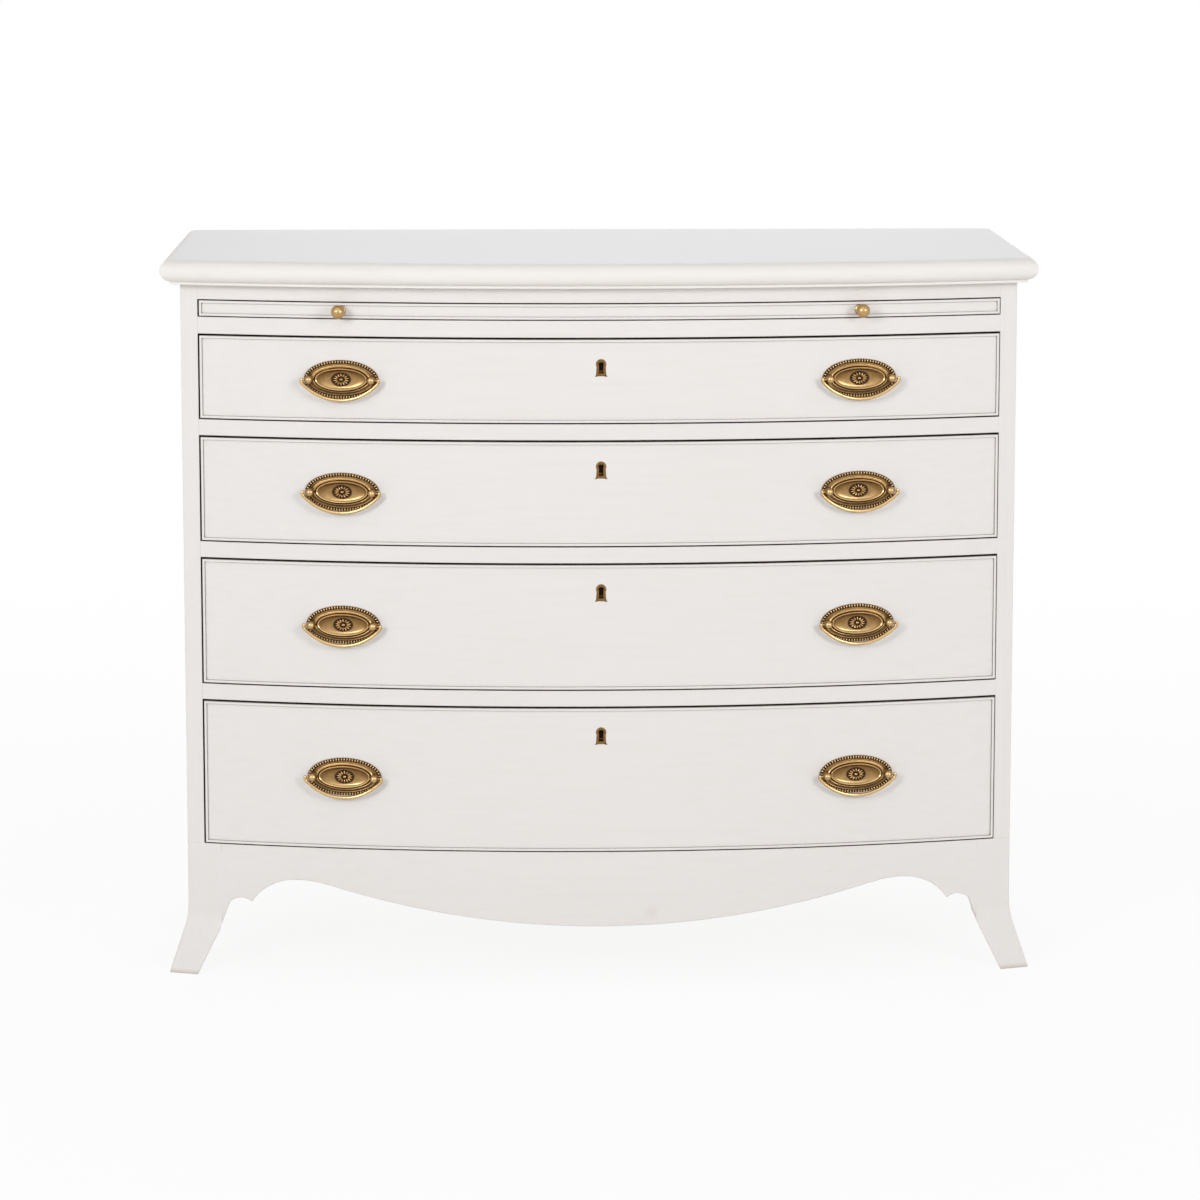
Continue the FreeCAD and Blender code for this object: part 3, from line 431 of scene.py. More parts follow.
paintAcross = paintFinish("paintAcross", "X")
paintUpright = paintFinish("paintUpright", "Z")
paintDeep = paintFinish("paintDeep", "Y")
paintTop = paintFinish("paintTop", "X", nosed=True)
pineAcross = woodFinish("pineAcross", "X")
pineUpright = woodFinish("pineUpright", "Z")
pineDeep = woodFinish("pineDeep", "Y")
brass = brassFinish("agedBrass")
steel = steelFinish("dullSteel")
print("finishes made")


# each board is its own solid with its edges softened
joinery = {
    "merge": 0.005 * mm, "flatAngle": 0.3,
    "sharpAngle": 32, "shortest": 7 * mm, "segments": 2,  # which edges are softened
    "boardEdge": 0.9 * mm, "baseEdge": 0.8 * mm, "frontEdge": 0.4 * mm, "slideEdge": 0.6 * mm,
    "boxEdge": 0.6 * mm, "beadEdge": 1.1 * mm,
    "seamHeight": 161.3 * mm, "railEnd": 490.7 * mm, "boxSide": 480 * mm,
    "sideCorner": 511 * mm, "sideLow": 170 * mm, "sideHigh": 850 * mm,
    "footOuter": 500 * mm, "toeInner": 494 * mm, "toeTop": 2 * mm,
    "toeTaper": 7.6 * mm, "toeReach": 40 * mm,
    # what the plane takes off on the left, above and below, and how wide a strip moves with it
    "leftGap": 1 * mm, "drawerGaps": (1.2 * mm, 0.5 * mm), "slideGaps": (0.1 * mm, 0.8 * mm),
    "frontStrip": 1.5 * mm, "beadStrip": 4.5 * mm,
}


def softened(node, name, body, material, width, wanted=lambda middle: True,
             slot="painted_wood", shaped=None):
    piece = copied(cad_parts[node], name, Matrix.Identity(4))
    alone(piece)
    bpy.ops.object.mode_set(mode="EDIT")
    bpy.ops.mesh.select_all(action="SELECT")
    bpy.ops.mesh.remove_doubles(threshold=joinery["merge"])
    bpy.ops.mesh.dissolve_limited(angle_limit=math.radians(joinery["flatAngle"]))
    sharp = math.radians(joinery["sharpAngle"])
    pick(piece, "EDGE", lambda edge: edge.is_manifold and edge.calc_length() > joinery["shortest"]
         and edge.calc_face_angle_signed(0) > sharp
         and wanted((edge.verts[0].co + edge.verts[1].co) / 2))
    bpy.ops.mesh.bevel(offset=width, segments=joinery["segments"], affect="EDGES",
                       clamp_overlap=False)
    if shaped:
        shaped(piece)
    bpy.ops.object.mode_set(mode="OBJECT")
    return dress(trueNormals(settle(piece, 30), boardSurface), body, material, slot, node)


def offSeam(middle):  # a painted-over seam keeps its sharp edge, so that it closes up
    atJoint = abs(abs(middle.x) - footJoint) < mm and middle.y < -100 * mm
    return abs(middle.z - joinery["seamHeight"]) > mm and not atJoint


def offRailEnd(middle):
    return abs(middle.x) < joinery["railEnd"]


def footEdge(middle):
    return offSeam(middle) and (abs(middle.x) > joinery["footOuter"] or middle.z < mm)


def outerCorner(middle):
    upright = joinery["sideLow"] < middle.z < joinery["sideHigh"]
    return abs(middle.x) > joinery["sideCorner"] and upright


def taperToe(piece):  # the foot narrows towards the floor on its inner side
    pick(piece, "VERT", lambda vert: vert.co.z < joinery["toeTop"]
         and abs(vert.co.x) < joinery["toeInner"])
    hand = math.copysign(1, middleOf([vert.co for vert in piece.data.vertices]).x)
    bpy.ops.transform.translate(value=(hand * joinery["toeTaper"], 0, 0),
                                use_proportional_edit=True,
                                proportional_edit_falloff="LINEAR",
                                proportional_size=joinery["toeReach"])


def planed(strip, gaps):  # a front or a bead that was planed to run freely
    fromTop, fromFoot = gaps

    def shave(piece):
        places = [vert.co.copy() for vert in piece.data.vertices]
        for axis, side, depth in ((2, 1, fromTop), (2, -1, fromFoot), (0, -1, joinery["leftGap"])):
            edge = max(side * place[axis] for place in places) - strip
            pick(piece, "VERT", lambda vert: side * vert.co[axis] > edge)
            inwards = Vector((0, 0, 0))
            inwards[axis] = -side * depth
            bpy.ops.transform.translate(value=inwards)
    return shave


for hand in ("left", "right"):
    side = hand.capitalize()
    softened(f"side_{hand}", f"caseSide{side}", "carcass", paintUpright, joinery["boardEdge"],
             outerCorner)
    softened(f"side_apron_{hand}", f"sideApron{side}", "carcass", paintDeep, joinery["baseEdge"],
             offSeam)
    softened(f"front_foot_{hand}", f"frontFoot{side}", "carcass", paintUpright,
             joinery["baseEdge"], footEdge, shaped=taperToe)
    softened(f"rear_foot_{hand}", f"rearFoot{side}", "carcass", paintUpright,
             joinery["baseEdge"], offSeam)
for node in ("frieze_rail", "slide_rail", "drawer_rail_1", "drawer_rail_2", "drawer_rail_3"):
    softened(node, camelCase(node), "carcass", paintAcross, joinery["boardEdge"], offRailEnd)
softened("front_apron", "frontApron", "carcass", paintAcross, joinery["baseEdge"], offSeam)
softened("slide_board", "slideBoard", "slide", paintAcross, joinery["slideEdge"],
         shaped=planed(joinery["frontStrip"], joinery["slideGaps"]))
softened("slide_bead", "slideBead", "slide", paintAcross, joinery["beadEdge"],
         shaped=planed(joinery["beadStrip"], joinery["slideGaps"]))
for number in (1, 2, 3, 4):
    body = f"drawer_{number}"
    softened(f"{body}_front", f"drawerFront{number}", body, paintAcross, joinery["frontEdge"],
             shaped=planed(joinery["frontStrip"], joinery["drawerGaps"]))
    softened(f"{body}_bead", f"cockBead{number}", body, paintAcross, joinery["beadEdge"],
             shaped=planed(joinery["beadStrip"], joinery["drawerGaps"]))
    box = softened(f"{body}_box", f"drawerBox{number}", body, pineDeep, joinery["boxEdge"],
                   slot="bare_wood")
    box.data.materials.append(pineAcross)
    for face in box.data.polygons:  # the back board's grain runs across
        face.material_index = 1 if abs(face.center.x) < joinery["boxSide"] else 0
print("joinery softened")

plainFinishes = {  # these keep their own shape
    "back_boards": pineUpright, "drawer_runners": pineDeep, "dustboards": pineAcross,
    "drawer_stops": pineAcross, "bottom_board": pineAcross, "glue_blocks": pineUpright,
}
for number in (1, 2, 3, 4):
    plainFinishes[f"drawer_{number}_bottom"] = pineAcross
    plainFinishes[f"drawer_{number}_bolt"] = steel
for node, material in plainFinishes.items():
    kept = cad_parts[node]
    kept.data.materials.clear()
    kept.data.materials.append(material)


# top board with a half-round nose over a fillet strip
topBoard = {
    "bowRadius": 1997.85 * mm, "half": 535 * mm, "back": 261 * mm,
    "top": 888 * mm, "nose": 27 * mm, "fillet": 3.5 * mm, "setback": 11.5 * mm,
    "arcPoints": 480, "noseSteps": 12,
    "halfCore": 0.05 * mm,  # the nose starts from a sheet of twice this
    "spare": 30 * mm,  # sawn off the back once the nose is made
}
noseRoll = topBoard["nose"] / 2
noseMiddle = topBoard["top"] - noseRoll
underNose = topBoard["top"] - topBoard["nose"]


def bowedBoard(name, inset, low, high, back):  # a disc, cut down to the bow and raised
    deselect()
    bpy.ops.mesh.primitive_circle_add(vertices=topBoard["arcPoints"], fill_type="NGON",
                                      radius=topBoard["bowRadius"] - inset,
                                      location=(0, bow["centre"], low))
    piece = added(name)
    bpy.ops.object.transform_apply(location=True)
    bpy.ops.object.mode_set(mode="EDIT")
    half = topBoard["half"] - inset
    for point, outward in (((0, back, 0), (0, 1, 0)),
                           ((half, 0, 0), (1, 0, 0)), ((-half, 0, 0), (-1, 0, 0))):
        bpy.ops.mesh.select_all(action="SELECT")
        bpy.ops.mesh.bisect(plane_co=point, plane_no=outward, clear_outer=True)
    bpy.ops.mesh.select_all(action="SELECT")
    bpy.ops.mesh.extrude_region_move(TRANSFORM_OT_translate={"value": (0, 0, high - low)})
    bpy.ops.mesh.select_all(action="SELECT")
    bpy.ops.mesh.normals_make_consistent(inside=False)
    return piece


def noseSurface(normal, places):  # the roll of the nose, and else a board's own surface
    middle = middleOf(places)
    if middle.z < underNose or abs(normal.z) > 0.999 or normal.y > 0.9:
        return boardSurface(normal, places)
    atEnd = abs(normal.x) > abs(normal.dot(bowward(middle)))

    def rolled(place):
        level = bowward(place) * (bowReach(place) - topBoard["bowRadius"] + noseRoll)
        if atEnd:
            outwards = place.x - math.copysign(topBoard["half"] - noseRoll, place.x)
            level = Vector((outwards, 0, 0))
        return (level + Vector((0, 0, place.z - noseMiddle))).normalized()
    return rolled


def makeSlab():
    slab = bowedBoard("topSlab", 0, noseMiddle - topBoard["halfCore"],
                      noseMiddle + topBoard["halfCore"], topBoard["back"] + topBoard["spare"])
    pick(slab, "FACE", lambda face: abs(face.normal.z) > 0.9)
    turns = [math.pi / 2 * step / topBoard["noseSteps"]
             for step in range(topBoard["noseSteps"] + 1)]
    for last, turn in zip(turns, turns[1:]):  # each inset is one band, above and below
        bpy.ops.mesh.inset(
            thickness=noseRoll * (math.cos(last) - math.cos(turn)),
            depth=(noseRoll - topBoard["halfCore"]) * (math.sin(turn) - math.sin(last)))
    bpy.ops.mesh.select_all(action="SELECT")
    bpy.ops.mesh.bisect(plane_co=(0, topBoard["back"], 0), plane_no=(0, 1, 0),
                        clear_outer=True, use_fill=True)
    bpy.ops.object.mode_set(mode="OBJECT")
    return slab


def makeFillet():
    strip = bowedBoard("topFillet", topBoard["setback"], underNose - topBoard["fillet"],
                       underNose + mm, topBoard["back"])
    bpy.ops.object.mode_set(mode="OBJECT")
    return strip


dress(trueNormals(settle(joined("topBoard", [makeSlab(), makeFillet()]), 30), noseSurface),
      "carcass", paintTop, "painted_wood", "top_board")
print("top board made")


def mark(piece, wear):  # how far rubbing reaches each point, with painted highlight and shade on some pieces: a number, or a rule on its place
    values = piece.data.attributes.new("wear", "FLOAT", "POINT").data
    for point, value in zip(piece.data.vertices, values):
        value.value = wear(point.co) if callable(wear) else wear
    return piece


def faceDisc(name, points, radius, out=0.0):  # a disc that faces the front
    deselect()
    bpy.ops.mesh.primitive_circle_add(vertices=points, radius=radius, fill_type="NGON",
                                      rotation=(math.pi / 2, 0, 0), location=(0, -out, 0))
    piece = added(name)
    bpy.ops.object.transform_apply(location=True, rotation=True)
    return piece


def turned(name, profile, points, across=0.0, wear=0.7):  # radius and reach of each ring
    piece = faceDisc(name, points, *profile[0])
    bpy.ops.object.mode_set(mode="EDIT")
    bpy.ops.mesh.select_all(action="SELECT")
    for (last, lastOut), (radius, out) in zip(profile, profile[1:]):
        bpy.ops.mesh.extrude_region_move(TRANSFORM_OT_translate={"value": (0, lastOut - out, 0)})
        bpy.ops.transform.resize(value=(radius / last, 1, radius / last))
    bpy.ops.mesh.select_all(action="SELECT")
    bpy.ops.transform.translate(value=(across, 0, 0))
    bpy.ops.mesh.normals_make_consistent(inside=False)
    bpy.ops.object.mode_set(mode="OBJECT")
    return mark(piece, wear)


def ballProfile(radius, neck, centre, steps):  # rings of a ball, from its neck to its front
    start = math.asin(neck / radius)
    end = math.pi - 0.12  # a small flat closes the ball
    turns = [start + (end - start) * step / steps for step in range(steps + 1)]
    return [(radius * math.sin(turn), centre - radius * math.cos(turn)) for turn in turns]


def leaf(name, size, centre, turn, points=8, rings=6):  # a drop, bright on its back
    deselect()
    bpy.ops.mesh.primitive_uv_sphere_add(segments=points, ring_count=rings, radius=1,
                                         location=centre, scale=size, rotation=(0, turn, 0))
    piece = added(name)
    bpy.ops.object.transform_apply(location=True, rotation=True, scale=True)
    atRoot, onBack = pull["leafWear"]
    return mark(piece, lambda place: atRoot + onBack * (centre[1] - place.y) / size[1])


def evenly(wide, tall, count, steps=2000):  # angles that divide an oval into equal lengths
    turns = [2 * math.pi * step / steps for step in range(steps + 1)]
    lengths = [0.0]
    for last, turn in zip(turns, turns[1:]):
        lengths.append(lengths[-1] + math.hypot(wide * (math.cos(turn) - math.cos(last)),
                                                tall * (math.sin(turn) - math.sin(last))))
    wanted = [(number + 0.5) * lengths[-1] / count for number in range(count)]
    return [next(turn for turn, length in zip(turns, lengths) if length >= goal)
            for goal in wanted]


# rows and sizes are in millimetres; a post's rows are the radius and reach of each ring
pull = {
    "spread": 315 * mm,
    "heights": {1: 744 * mm, 2: 606 * mm, 3: 441.75 * mm, 4: 252.15 * mm},
    "postSpread": 38.4 * mm, "standoff": 9.5 * mm, "ball": 5.2 * mm, "neck": 2.8 * mm,
    "postFoot": ((4.6, 0.5), (4.6, 1.9), (4.1, 2.5), (2.8, 3)),
    "shank": ((2, -28.5), (2.3, -28), (2.3, 1)),
    "nut": ((6.8, -25.5), (7.6, -25), (7.6, -22.6)),
    # each ring of the plate inwards: half width, half height, rise, wear, and painted light by
    # height (how much brighter its top is painted; below 0 its foot is painted brighter)
    "plateRings": ((46, 23.6, 0.5, 0.2, 0), (45.7, 23.3, 0.9, 0.5, 0), (45.2, 22.9, 0.7, -0.4, 0),
                   (41.4, 19.7, 0.6, -0.4, 0), (41, 19.4, 0.8, 0.1, 0), (40.6, 19.1, 1.2, 0.7, 0.2),
                   (39.8, 18.5, 0.9, 0.15, 0.2), (37.6, 17.2, 0.7, 0.2, 0.25),
                   (35.8, 16.2, 1.1, 0.35, 0.3), (34.9, 15.6, 1.9, 0.9, 0.3),
                   (34, 15, 1.7, 0.5, 0.3), (33.1, 14.4, 1.0, 0, 0), (32.5, 13.9, 1.6, 0, 0),
                   (32.1, 13.5, 2.9, 0.9, 0), (31.5, 13, 3.4, 1.2, 0),
                   (30.8, 12.3, 3.1, 0.8, -0.1), (30, 11.6, 2.2, 0.2, -0.3),
                   (27, 10.6, 1.4, 0.3, -0.35), (20, 9.9, 1.1, 0.4, -0.3),
                   (13, 9, 1.1, 0.4, -0.1), (11.8, 8.4, 0.9, -0.1, 0), (10.8, 7.8, 0.6, -0.4, 0),
                   (3, 2, 0.6, -0.4, 0)),
    "platePoints": 96,
    "ribs": 62, "ribOval": (43.7, 21.6), "rib": (1.95, 1.9, 1.05),
    "petals": 14, "petalOval": (7.2, 5.4), "petal": (0.5, 2.0, 1.05),  # the first is a share
    "leafRise": 0.8, "leafWear": (0.45, 1.05),
    "middle": {"boss": ((2.2, 1.5, 1.6), 1.2), "eye": ((1.2, 1.4, 1.0), 2.0)},  # size and rise
}


def makePlateOval():
    piece = faceDisc("pullPlate", pull["platePoints"], 1)
    piece.data.attributes.new("wear", "FLOAT", "POINT")
    rings = pull["plateRings"]
    bpy.ops.object.mode_set(mode="EDIT")
    bpy.ops.mesh.select_all(action="SELECT")
    bpy.ops.transform.resize(value=(rings[0][0] * mm, 1, rings[0][1] * mm))
    lastWide, lastTall, lastRise = rings[0][0], rings[0][1], 0
    for wide, tall, rise, wear, lightByHeight in rings:
        bpy.ops.mesh.extrude_region_move(
            TRANSFORM_OT_translate={"value": (0, (lastRise - rise) * mm, 0)})
        bpy.ops.transform.resize(value=(wide / lastWide, 1, tall / lastTall))
        lastWide, lastTall, lastRise = wide, tall, rise
        shape = bmesh.from_edit_mesh(piece.data)
        layer = shape.verts.layers.float["wear"]
        for vert in shape.verts:
            if vert.select:
                # painted light: each ring is painted brighter or darker towards its top
                vert[layer] = wear + lightByHeight * vert.co.z / (tall * mm)
        bmesh.update_edit_mesh(piece.data)
    bpy.ops.object.mode_set(mode="OBJECT")
    return piece


def makePost(hand):
    across = hand * pull["postSpread"]
    ball = ballProfile(pull["ball"], pull["neck"], pull["standoff"], 9)

    def frontLit(place):  # painted light: brighter towards the front of the ball, darker round its rim
        return 0.15 + 0.65 * max(0, -place.y - pull["standoff"]) / pull["ball"]
    return [turned("postBall", inMetres(pull["postFoot"]) + ball, 24, across, frontLit),
            turned("postShank", inMetres(pull["shank"]), 12, across, 0.3),
            turned("postNut", inMetres(pull["nut"]), 4, across, 0.4)]


def makePlate():
    parts = [makePlateOval()]
    out = -pull["leafRise"] * mm
    (wide, tall), ribSize = inMetres((pull["ribOval"], pull["rib"]))
    for turn in evenly(wide, tall, pull["ribs"]):
        across, up = wide * math.cos(turn), tall * math.sin(turn)
        slope = math.atan2(up / tall ** 2, across / wide ** 2)
        parts.append(leaf("rib", ribSize, (across, out, up), -slope))
    wide, tall = inMetres((pull["petalOval"],))[0]
    share, deep, broad = pull["petal"]
    for petal in range(pull["petals"]):
        turn = 2 * math.pi * (petal + 0.5) / pull["petals"]
        across, up = wide * math.cos(turn), tall * math.sin(turn)
        size = (share * math.hypot(across, up), deep * mm, broad * mm)
        parts.append(leaf("petal", size, (across, out, up), -math.atan2(up, across)))
    for name, (size, rise) in pull["middle"].items():
        parts.append(leaf(name, [value * mm for value in size], (0, -rise * mm, 0), 0, 18, 9))
    return settle(joined("pullPlate", parts + makePost(-1) + makePost(1)), 50)


bail = {
    "halfWidth": 47.5 * mm, "drop": 24.6 * mm, "shoulder": 5 * mm, "shoulderDrop": 1 * mm,
    "thickness": 4.2 * mm, "bowSteps": 18, "shoulderSteps": 6, "points": 14,
    "pin": 1.3 * mm, "pinEnd": 40.2 * mm, "pinRound": 0.3 * mm,
    "tip": ((1.5, 0.97), (0.8, 0.9), (0.5, 0.82), (0.3, 0.6)),  # rise in mm, share of each ring
}


def makeBailHoop():  # a wide arc that meets a tight one at each shoulder
    out = -pull["standoff"]
    inwards = bail["halfWidth"] - bail["shoulder"]
    fall = bail["drop"] - bail["shoulderDrop"]
    radius = (inwards ** 2 + fall ** 2 - bail["shoulder"] ** 2) / (2 * (fall - bail["shoulder"]))
    hub = radius - bail["drop"]
    lean = math.atan2(hub + bail["shoulderDrop"], inwards)
    corner = (inwards, out, -bail["shoulderDrop"])
    deselect()
    bpy.ops.mesh.primitive_circle_add(vertices=bail["points"], radius=bail["thickness"] / 2,
                                      rotation=(0, math.pi / 2, 0),
                                      location=(0, out, -bail["drop"]))
    piece = added("bail")
    bpy.ops.object.transform_apply(location=True, rotation=True)
    bpy.ops.object.mode_set(mode="EDIT")
    bpy.ops.mesh.select_mode(type="EDGE")
    bpy.ops.mesh.select_all(action="SELECT")
    bpy.ops.mesh.spin(steps=bail["bowSteps"], angle=math.pi / 2 - lean, axis=(0, 1, 0),
                      center=(0, out, hub))
    bpy.ops.mesh.spin(steps=bail["shoulderSteps"], angle=lean, axis=(0, 1, 0), center=corner)
    tip = Vector((bail["halfWidth"], out, corner[2]))
    for rise, share in bail["tip"]:
        bpy.ops.mesh.extrude_edges_move(TRANSFORM_OT_translate={"value": (0, 0, rise * mm)})
        tip.z += rise * mm
        bpy.ops.transform.resize(value=(share, share, 1), center_override=tip)
    bpy.ops.mesh.edge_face_add()
    bpy.ops.object.mode_set(mode="OBJECT")
    bpy.ops.object.modifier_add(type="MIRROR")
    piece.modifiers[-1].merge_threshold = 0.01 * mm
    bpy.ops.object.modifier_apply(modifier=piece.modifiers[-1].name)
    # painted light: the front of the bail is painted brighter and its back, towards the plate,
    # darker
    return mark(piece, lambda place: 0.5 + 0.45 * (out - place.y) / (bail["thickness"] / 2))


def makeBailPin(hand):
    length = bail["halfWidth"] - bail["pinEnd"]
    deselect()
    bpy.ops.mesh.primitive_cylinder_add(
        vertices=bail["points"], radius=bail["pin"], depth=length, rotation=(0, math.pi / 2, 0),
        location=(hand * (bail["pinEnd"] + length / 2), -pull["standoff"], 0))
    pin = added("bailPin")
    bpy.ops.object.transform_apply(location=True, rotation=True)
    bpy.ops.object.mode_set(mode="EDIT")
    pick(pin, "FACE", lambda face: len(face.verts) > 4)
    bpy.ops.mesh.bevel(offset=bail["pinRound"], segments=2, affect="EDGES")
    bpy.ops.object.mode_set(mode="OBJECT")
    return mark(pin, 0.6)


def makeBail():
    whole = joined("bail", [makeBailHoop(), makeBailPin(-1), makeBailPin(1)])
    bpy.ops.object.mode_set(mode="EDIT")
    bpy.ops.mesh.select_all(action="SELECT")
    bpy.ops.mesh.normals_make_consistent(inside=False)
    bpy.ops.object.mode_set(mode="OBJECT")
    return settle(whole, 50)


def placeOnBow(hand, height):
    turn = hand * math.asin(pull["spread"] / bow["radius"])
    face = bow["centre"] - math.sqrt(bow["radius"] ** 2 - pull["spread"] ** 2)
    spot = Matrix.Translation((hand * pull["spread"], face, height))
    return spot @ Matrix.Rotation(turn, 4, "Z")


masters = {"plate": makePlate(), "bail": makeBail()}
for number, height in pull["heights"].items():
    for hand, side in ((-1, "left"), (1, "right")):
        place = placeOnBow(hand, height)
        mate = f"{number}{side.capitalize()}"
        dress(copied(masters["plate"], "pullPlate" + mate, place), f"drawer_{number}", brass,
              "antique_brass", f"drawer_{number}_pull_plates")
        dress(copied(masters["bail"], "bail" + mate, place), f"drawer_{number}_handle_{side}",
              brass, "antique_brass", f"drawer_{number}_bail_{side}")
discard(masters)
print("pulls made")


keyhole = {
    "heights": {1: 764.5 * mm, 2: 639.5 * mm, 3: 488.5 * mm, 4: 311 * mm},
    "face": -233.3 * mm, "radius": 6.5 * mm, "waist": 5.3 * mm, "foot": 6.2 * mm,
    "tail": 14.5 * mm, "rim": 3.3 * mm, "depth": 9 * mm, "points": 40, "round": 0.7 * mm,
    "faceWear": 0.3, "holeWear": -0.6,
}


def makeEscutcheon():
    piece = faceDisc("escutcheon", keyhole["points"], keyhole["radius"])
    bpy.ops.object.mode_set(mode="EDIT")
    drop = math.sqrt(keyhole["radius"] ** 2 - keyhole["waist"] ** 2)
    pick(piece, "VERT", lambda vert: vert.co.z < -drop)
    low = [vert.co.copy() for vert in bmesh.from_edit_mesh(piece.data).verts if vert.select]
    middle = sum(point.z for point in low) / len(low)
    bpy.ops.transform.resize(
        value=(keyhole["foot"] / max(point.x for point in low), 1, 0),
        center_override=(0, 0, middle))
    bpy.ops.transform.translate(value=(0, 0, -keyhole["tail"] - middle))
    bpy.ops.mesh.select_all(action="SELECT")
    bpy.ops.mesh.extrude_region_move(TRANSFORM_OT_translate={"value": (0, -keyhole["depth"], 0)})
    pick(piece, "FACE", lambda face: len(face.verts) > 4)
    bpy.ops.mesh.inset(thickness=keyhole["rim"], depth=0)
    bpy.ops.mesh.bridge_edge_loops()
    bpy.ops.mesh.select_all(action="SELECT")
    bpy.ops.mesh.normals_make_consistent(inside=False)
    front = -keyhole["depth"]
    pick(piece, "EDGE", lambda edge: all(abs(vert.co.y - front) < 0.01 * mm for vert in edge.verts)
         and edge.calc_face_angle(0) > 1)
    bpy.ops.mesh.bevel(offset=keyhole["round"], segments=3, affect="EDGES", clamp_overlap=False)
    bpy.ops.object.mode_set(mode="OBJECT")
    worn = mark(piece, lambda place: keyhole["faceWear" if place.y < -mm else "holeWear"])
    return settle(worn, 40)


lockCase = {
    "wide": 60 * mm, "deep": 12 * mm, "tall": 42.6 * mm, "back": -211 * mm, "rise": 8.3 * mm,
    "round": 0.8 * mm,
    "mouth": ((5, 0), (4, 0.4)), "mouthDrop": 4 * mm,  # the key comes through here
    "screw": ((2.6, 0.4), (2.2, 0.9)), "screws": ((-24, 14), (24, 14), (-24, -14), (24, -14)),
}


def makeLockCase():
    front = lockCase["back"] - lockCase["deep"]
    deselect()
    bpy.ops.mesh.primitive_cube_add(
        size=1, location=(0, lockCase["back"] - lockCase["deep"] / 2, lockCase["rise"]),
        scale=(lockCase["wide"], lockCase["deep"], lockCase["tall"]))
    box = added("lockCase")
    bpy.ops.object.transform_apply(location=True, scale=True)
    bpy.ops.object.mode_set(mode="EDIT")
    bpy.ops.mesh.select_all(action="SELECT")
    bpy.ops.mesh.bevel(offset=lockCase["round"], segments=2, affect="EDGES")
    bpy.ops.object.mode_set(mode="OBJECT")
    mouth = turned("lockMouth", inMetres(lockCase["mouth"]), 20, wear=-0.5)
    mouth.data.transform(Matrix.Translation((0, front, -lockCase["mouthDrop"])))
    parts = [mark(box, 0.3), mouth]
    for across, up in inMetres(lockCase["screws"]):
        screw = turned("lockScrew", inMetres(lockCase["screw"]), 16)
        spot = Matrix.Translation((across, lockCase["back"], lockCase["rise"] + up))
        screw.data.transform(spot @ Matrix.Rotation(math.pi, 4, "Z"))
        parts.append(screw)
    return settle(joined("lockCase", parts), 40)


masters = {"escutcheon": makeEscutcheon(), "lockCase": makeLockCase()}
for number, height in keyhole["heights"].items():
    face = Matrix.Translation((0, keyhole["face"] + keyhole["depth"], height))
    dress(copied(masters["escutcheon"], f"escutcheon{number}", face), f"drawer_{number}", brass,
          "antique_brass", f"drawer_{number}_lock")
    dress(copied(masters["lockCase"], f"lockCase{number}", Matrix.Translation((0, 0, height))),
          f"drawer_{number}", brass, "antique_brass", f"drawer_{number}_lock")
discard(masters)
print("locks made")


knob = {
    "radius": 8.5 * mm, "length": 25 * mm, "neck": 3.2 * mm, "height": 827.65 * mm,
    "foot": ((6.3, 0), (6.3, 1), (5.8, 1.6), (4.2, 2), (3.4, 3.2), (3.2, 5)),
}


def makeKnob(hand):
    ball = ballProfile(knob["radius"], knob["neck"], knob["length"] - knob["radius"], 14)
    piece = turned("knob", inMetres(knob["foot"]) + ball, 36)
    piece.data.transform(placeOnBow(hand, knob["height"]))
    return piece


dress(settle(joined("slideKnobs", [makeKnob(-1), makeKnob(1)]), 50), "slide", brass,
      "antique_brass", "slide_knobs")
print("knobs made")


stageLook = {
    "floorSize": 80,
    "floor": (0.95, 0.95, 0.95, 1),
    "glow": (1, 1, 1, 1),
    "nearGlow": 0.9,  # share of the glow under the chest, which leaves it a shadow
    "near": 0.9,
    "far": 3.2,  # the floor is all glow from here on
    "sky": 0.42,
}


def seenPlainly(finish):  # 1 for the camera and for mirror and glass rays
    camera = finish.add("LightPath", output="Is Camera Ray")
    mirror = finish.add("LightPath", output="Is Glossy Ray")
    glass = finish.add("LightPath", output="Is Transmission Ray")
    return finish.add("Clamp", {}, {0: camera + mirror + glass})


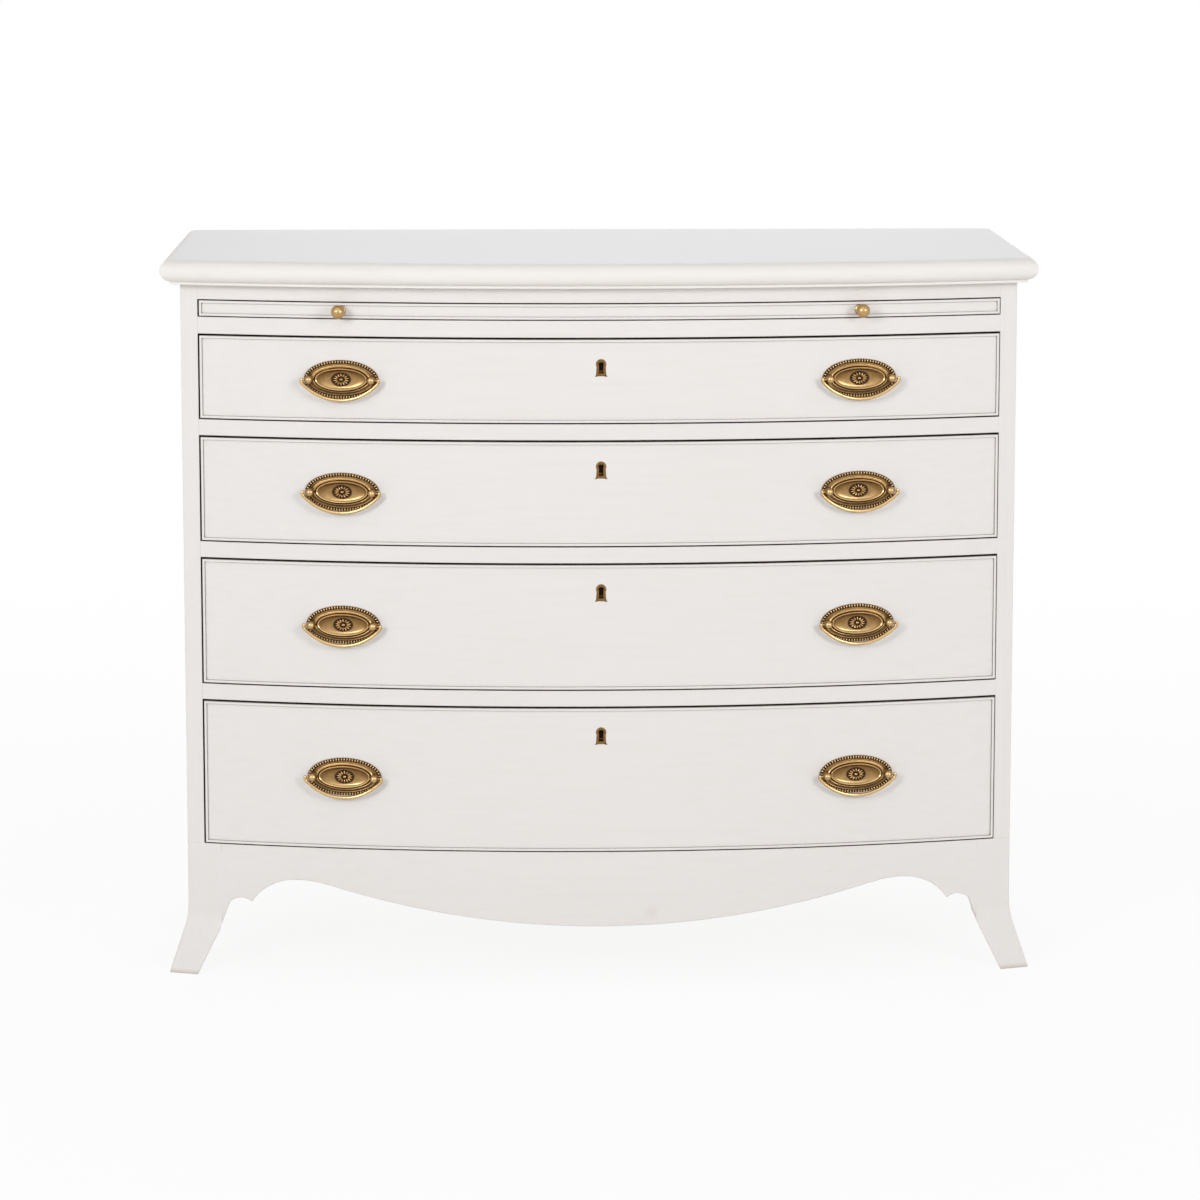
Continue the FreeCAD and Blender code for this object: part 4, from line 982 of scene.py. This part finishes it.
deselect()
bpy.ops.mesh.primitive_plane_add(size=stageLook["floorSize"], location=(0, 0, 0))
floor = added("floor")
ground = Finish(bpy.data.materials.new("paleGround"))
distance = ground.add("VectorMath", {"operation": "LENGTH"}, {0: ground.place()}, output="Value")
away = ground.between(distance, stageLook["near"], stageLook["far"])
glow = ground.add("Emission", {}, {"Color": stageLook["glow"]})
matt = ground.add("BsdfDiffuse", {}, {"Color": stageLook["floor"]})
share = seenPlainly(ground) * (stageLook["nearGlow"] + away * (1 - stageLook["nearGlow"]))
blend = ground.add("MixShader", {}, {0: share, 1: matt, 2: glow})
ground.add("OutputMaterial", {}, {"Surface": blend})
floor.data.materials.append(ground.owner)

world = bpy.data.worlds.new("studio")
bpy.context.scene.world = world
sky = Finish(world)
dim = sky.add("Background", {}, {"Color": stageLook["glow"], "Strength": stageLook["sky"]})
plain = sky.add("Background", {}, {"Color": stageLook["glow"], "Strength": 1.0})
blend = sky.add("MixShader", {}, {0: seenPlainly(sky), 1: dim, 2: plain})
sky.add("OutputWorld", {}, {"Surface": blend})

lamps = {
    "keyLeft": {"place": (-3.0, -4.4, 2.3), "size": 1.5, "power": 88},
    "keyRight": {"place": (3.2, -4.2, 2.1), "size": 1.5, "power": 74},
    "over": {"place": (-0.4, -2.6, 3.1), "size": 2.0, "power": 9},
    "back": {"place": (0.2, 3.4, 2.4), "size": 2.4, "power": 45},
}
lampAim = Vector((0, 0, 0.45))
for name, lamp in lamps.items():
    light = bpy.data.lights.new(name, "AREA")
    light.size = lamp["size"]
    light.energy = lamp["power"]
    holder = bpy.data.objects.new(name, light)
    holder.location = lamp["place"]
    holder.rotation_euler = (lampAim - holder.location).to_track_quat("-Z", "Y").to_euler()
    bpy.context.scene.collection.objects.link(holder)

eye = {"place": (-0.1299, -5.2779, 1.3377), "yaw": 1.459, "pitch": -8.059, "lens": 125.97,
       "shift": -0.1}
cameraData = bpy.data.cameras.new("camera")
cameraData.sensor_width = 36
cameraData.lens = eye["lens"]
cameraData.shift_y = eye["shift"]
camera = bpy.data.objects.new("camera", cameraData)
camera.location = eye["place"]
camera.rotation_euler = (math.radians(90 + eye["pitch"]), 0, math.radians(-eye["yaw"]))
bpy.context.scene.collection.objects.link(camera)
bpy.context.scene.camera = camera
bpy.context.scene.view_settings.view_transform = "Standard"
print("stage set")
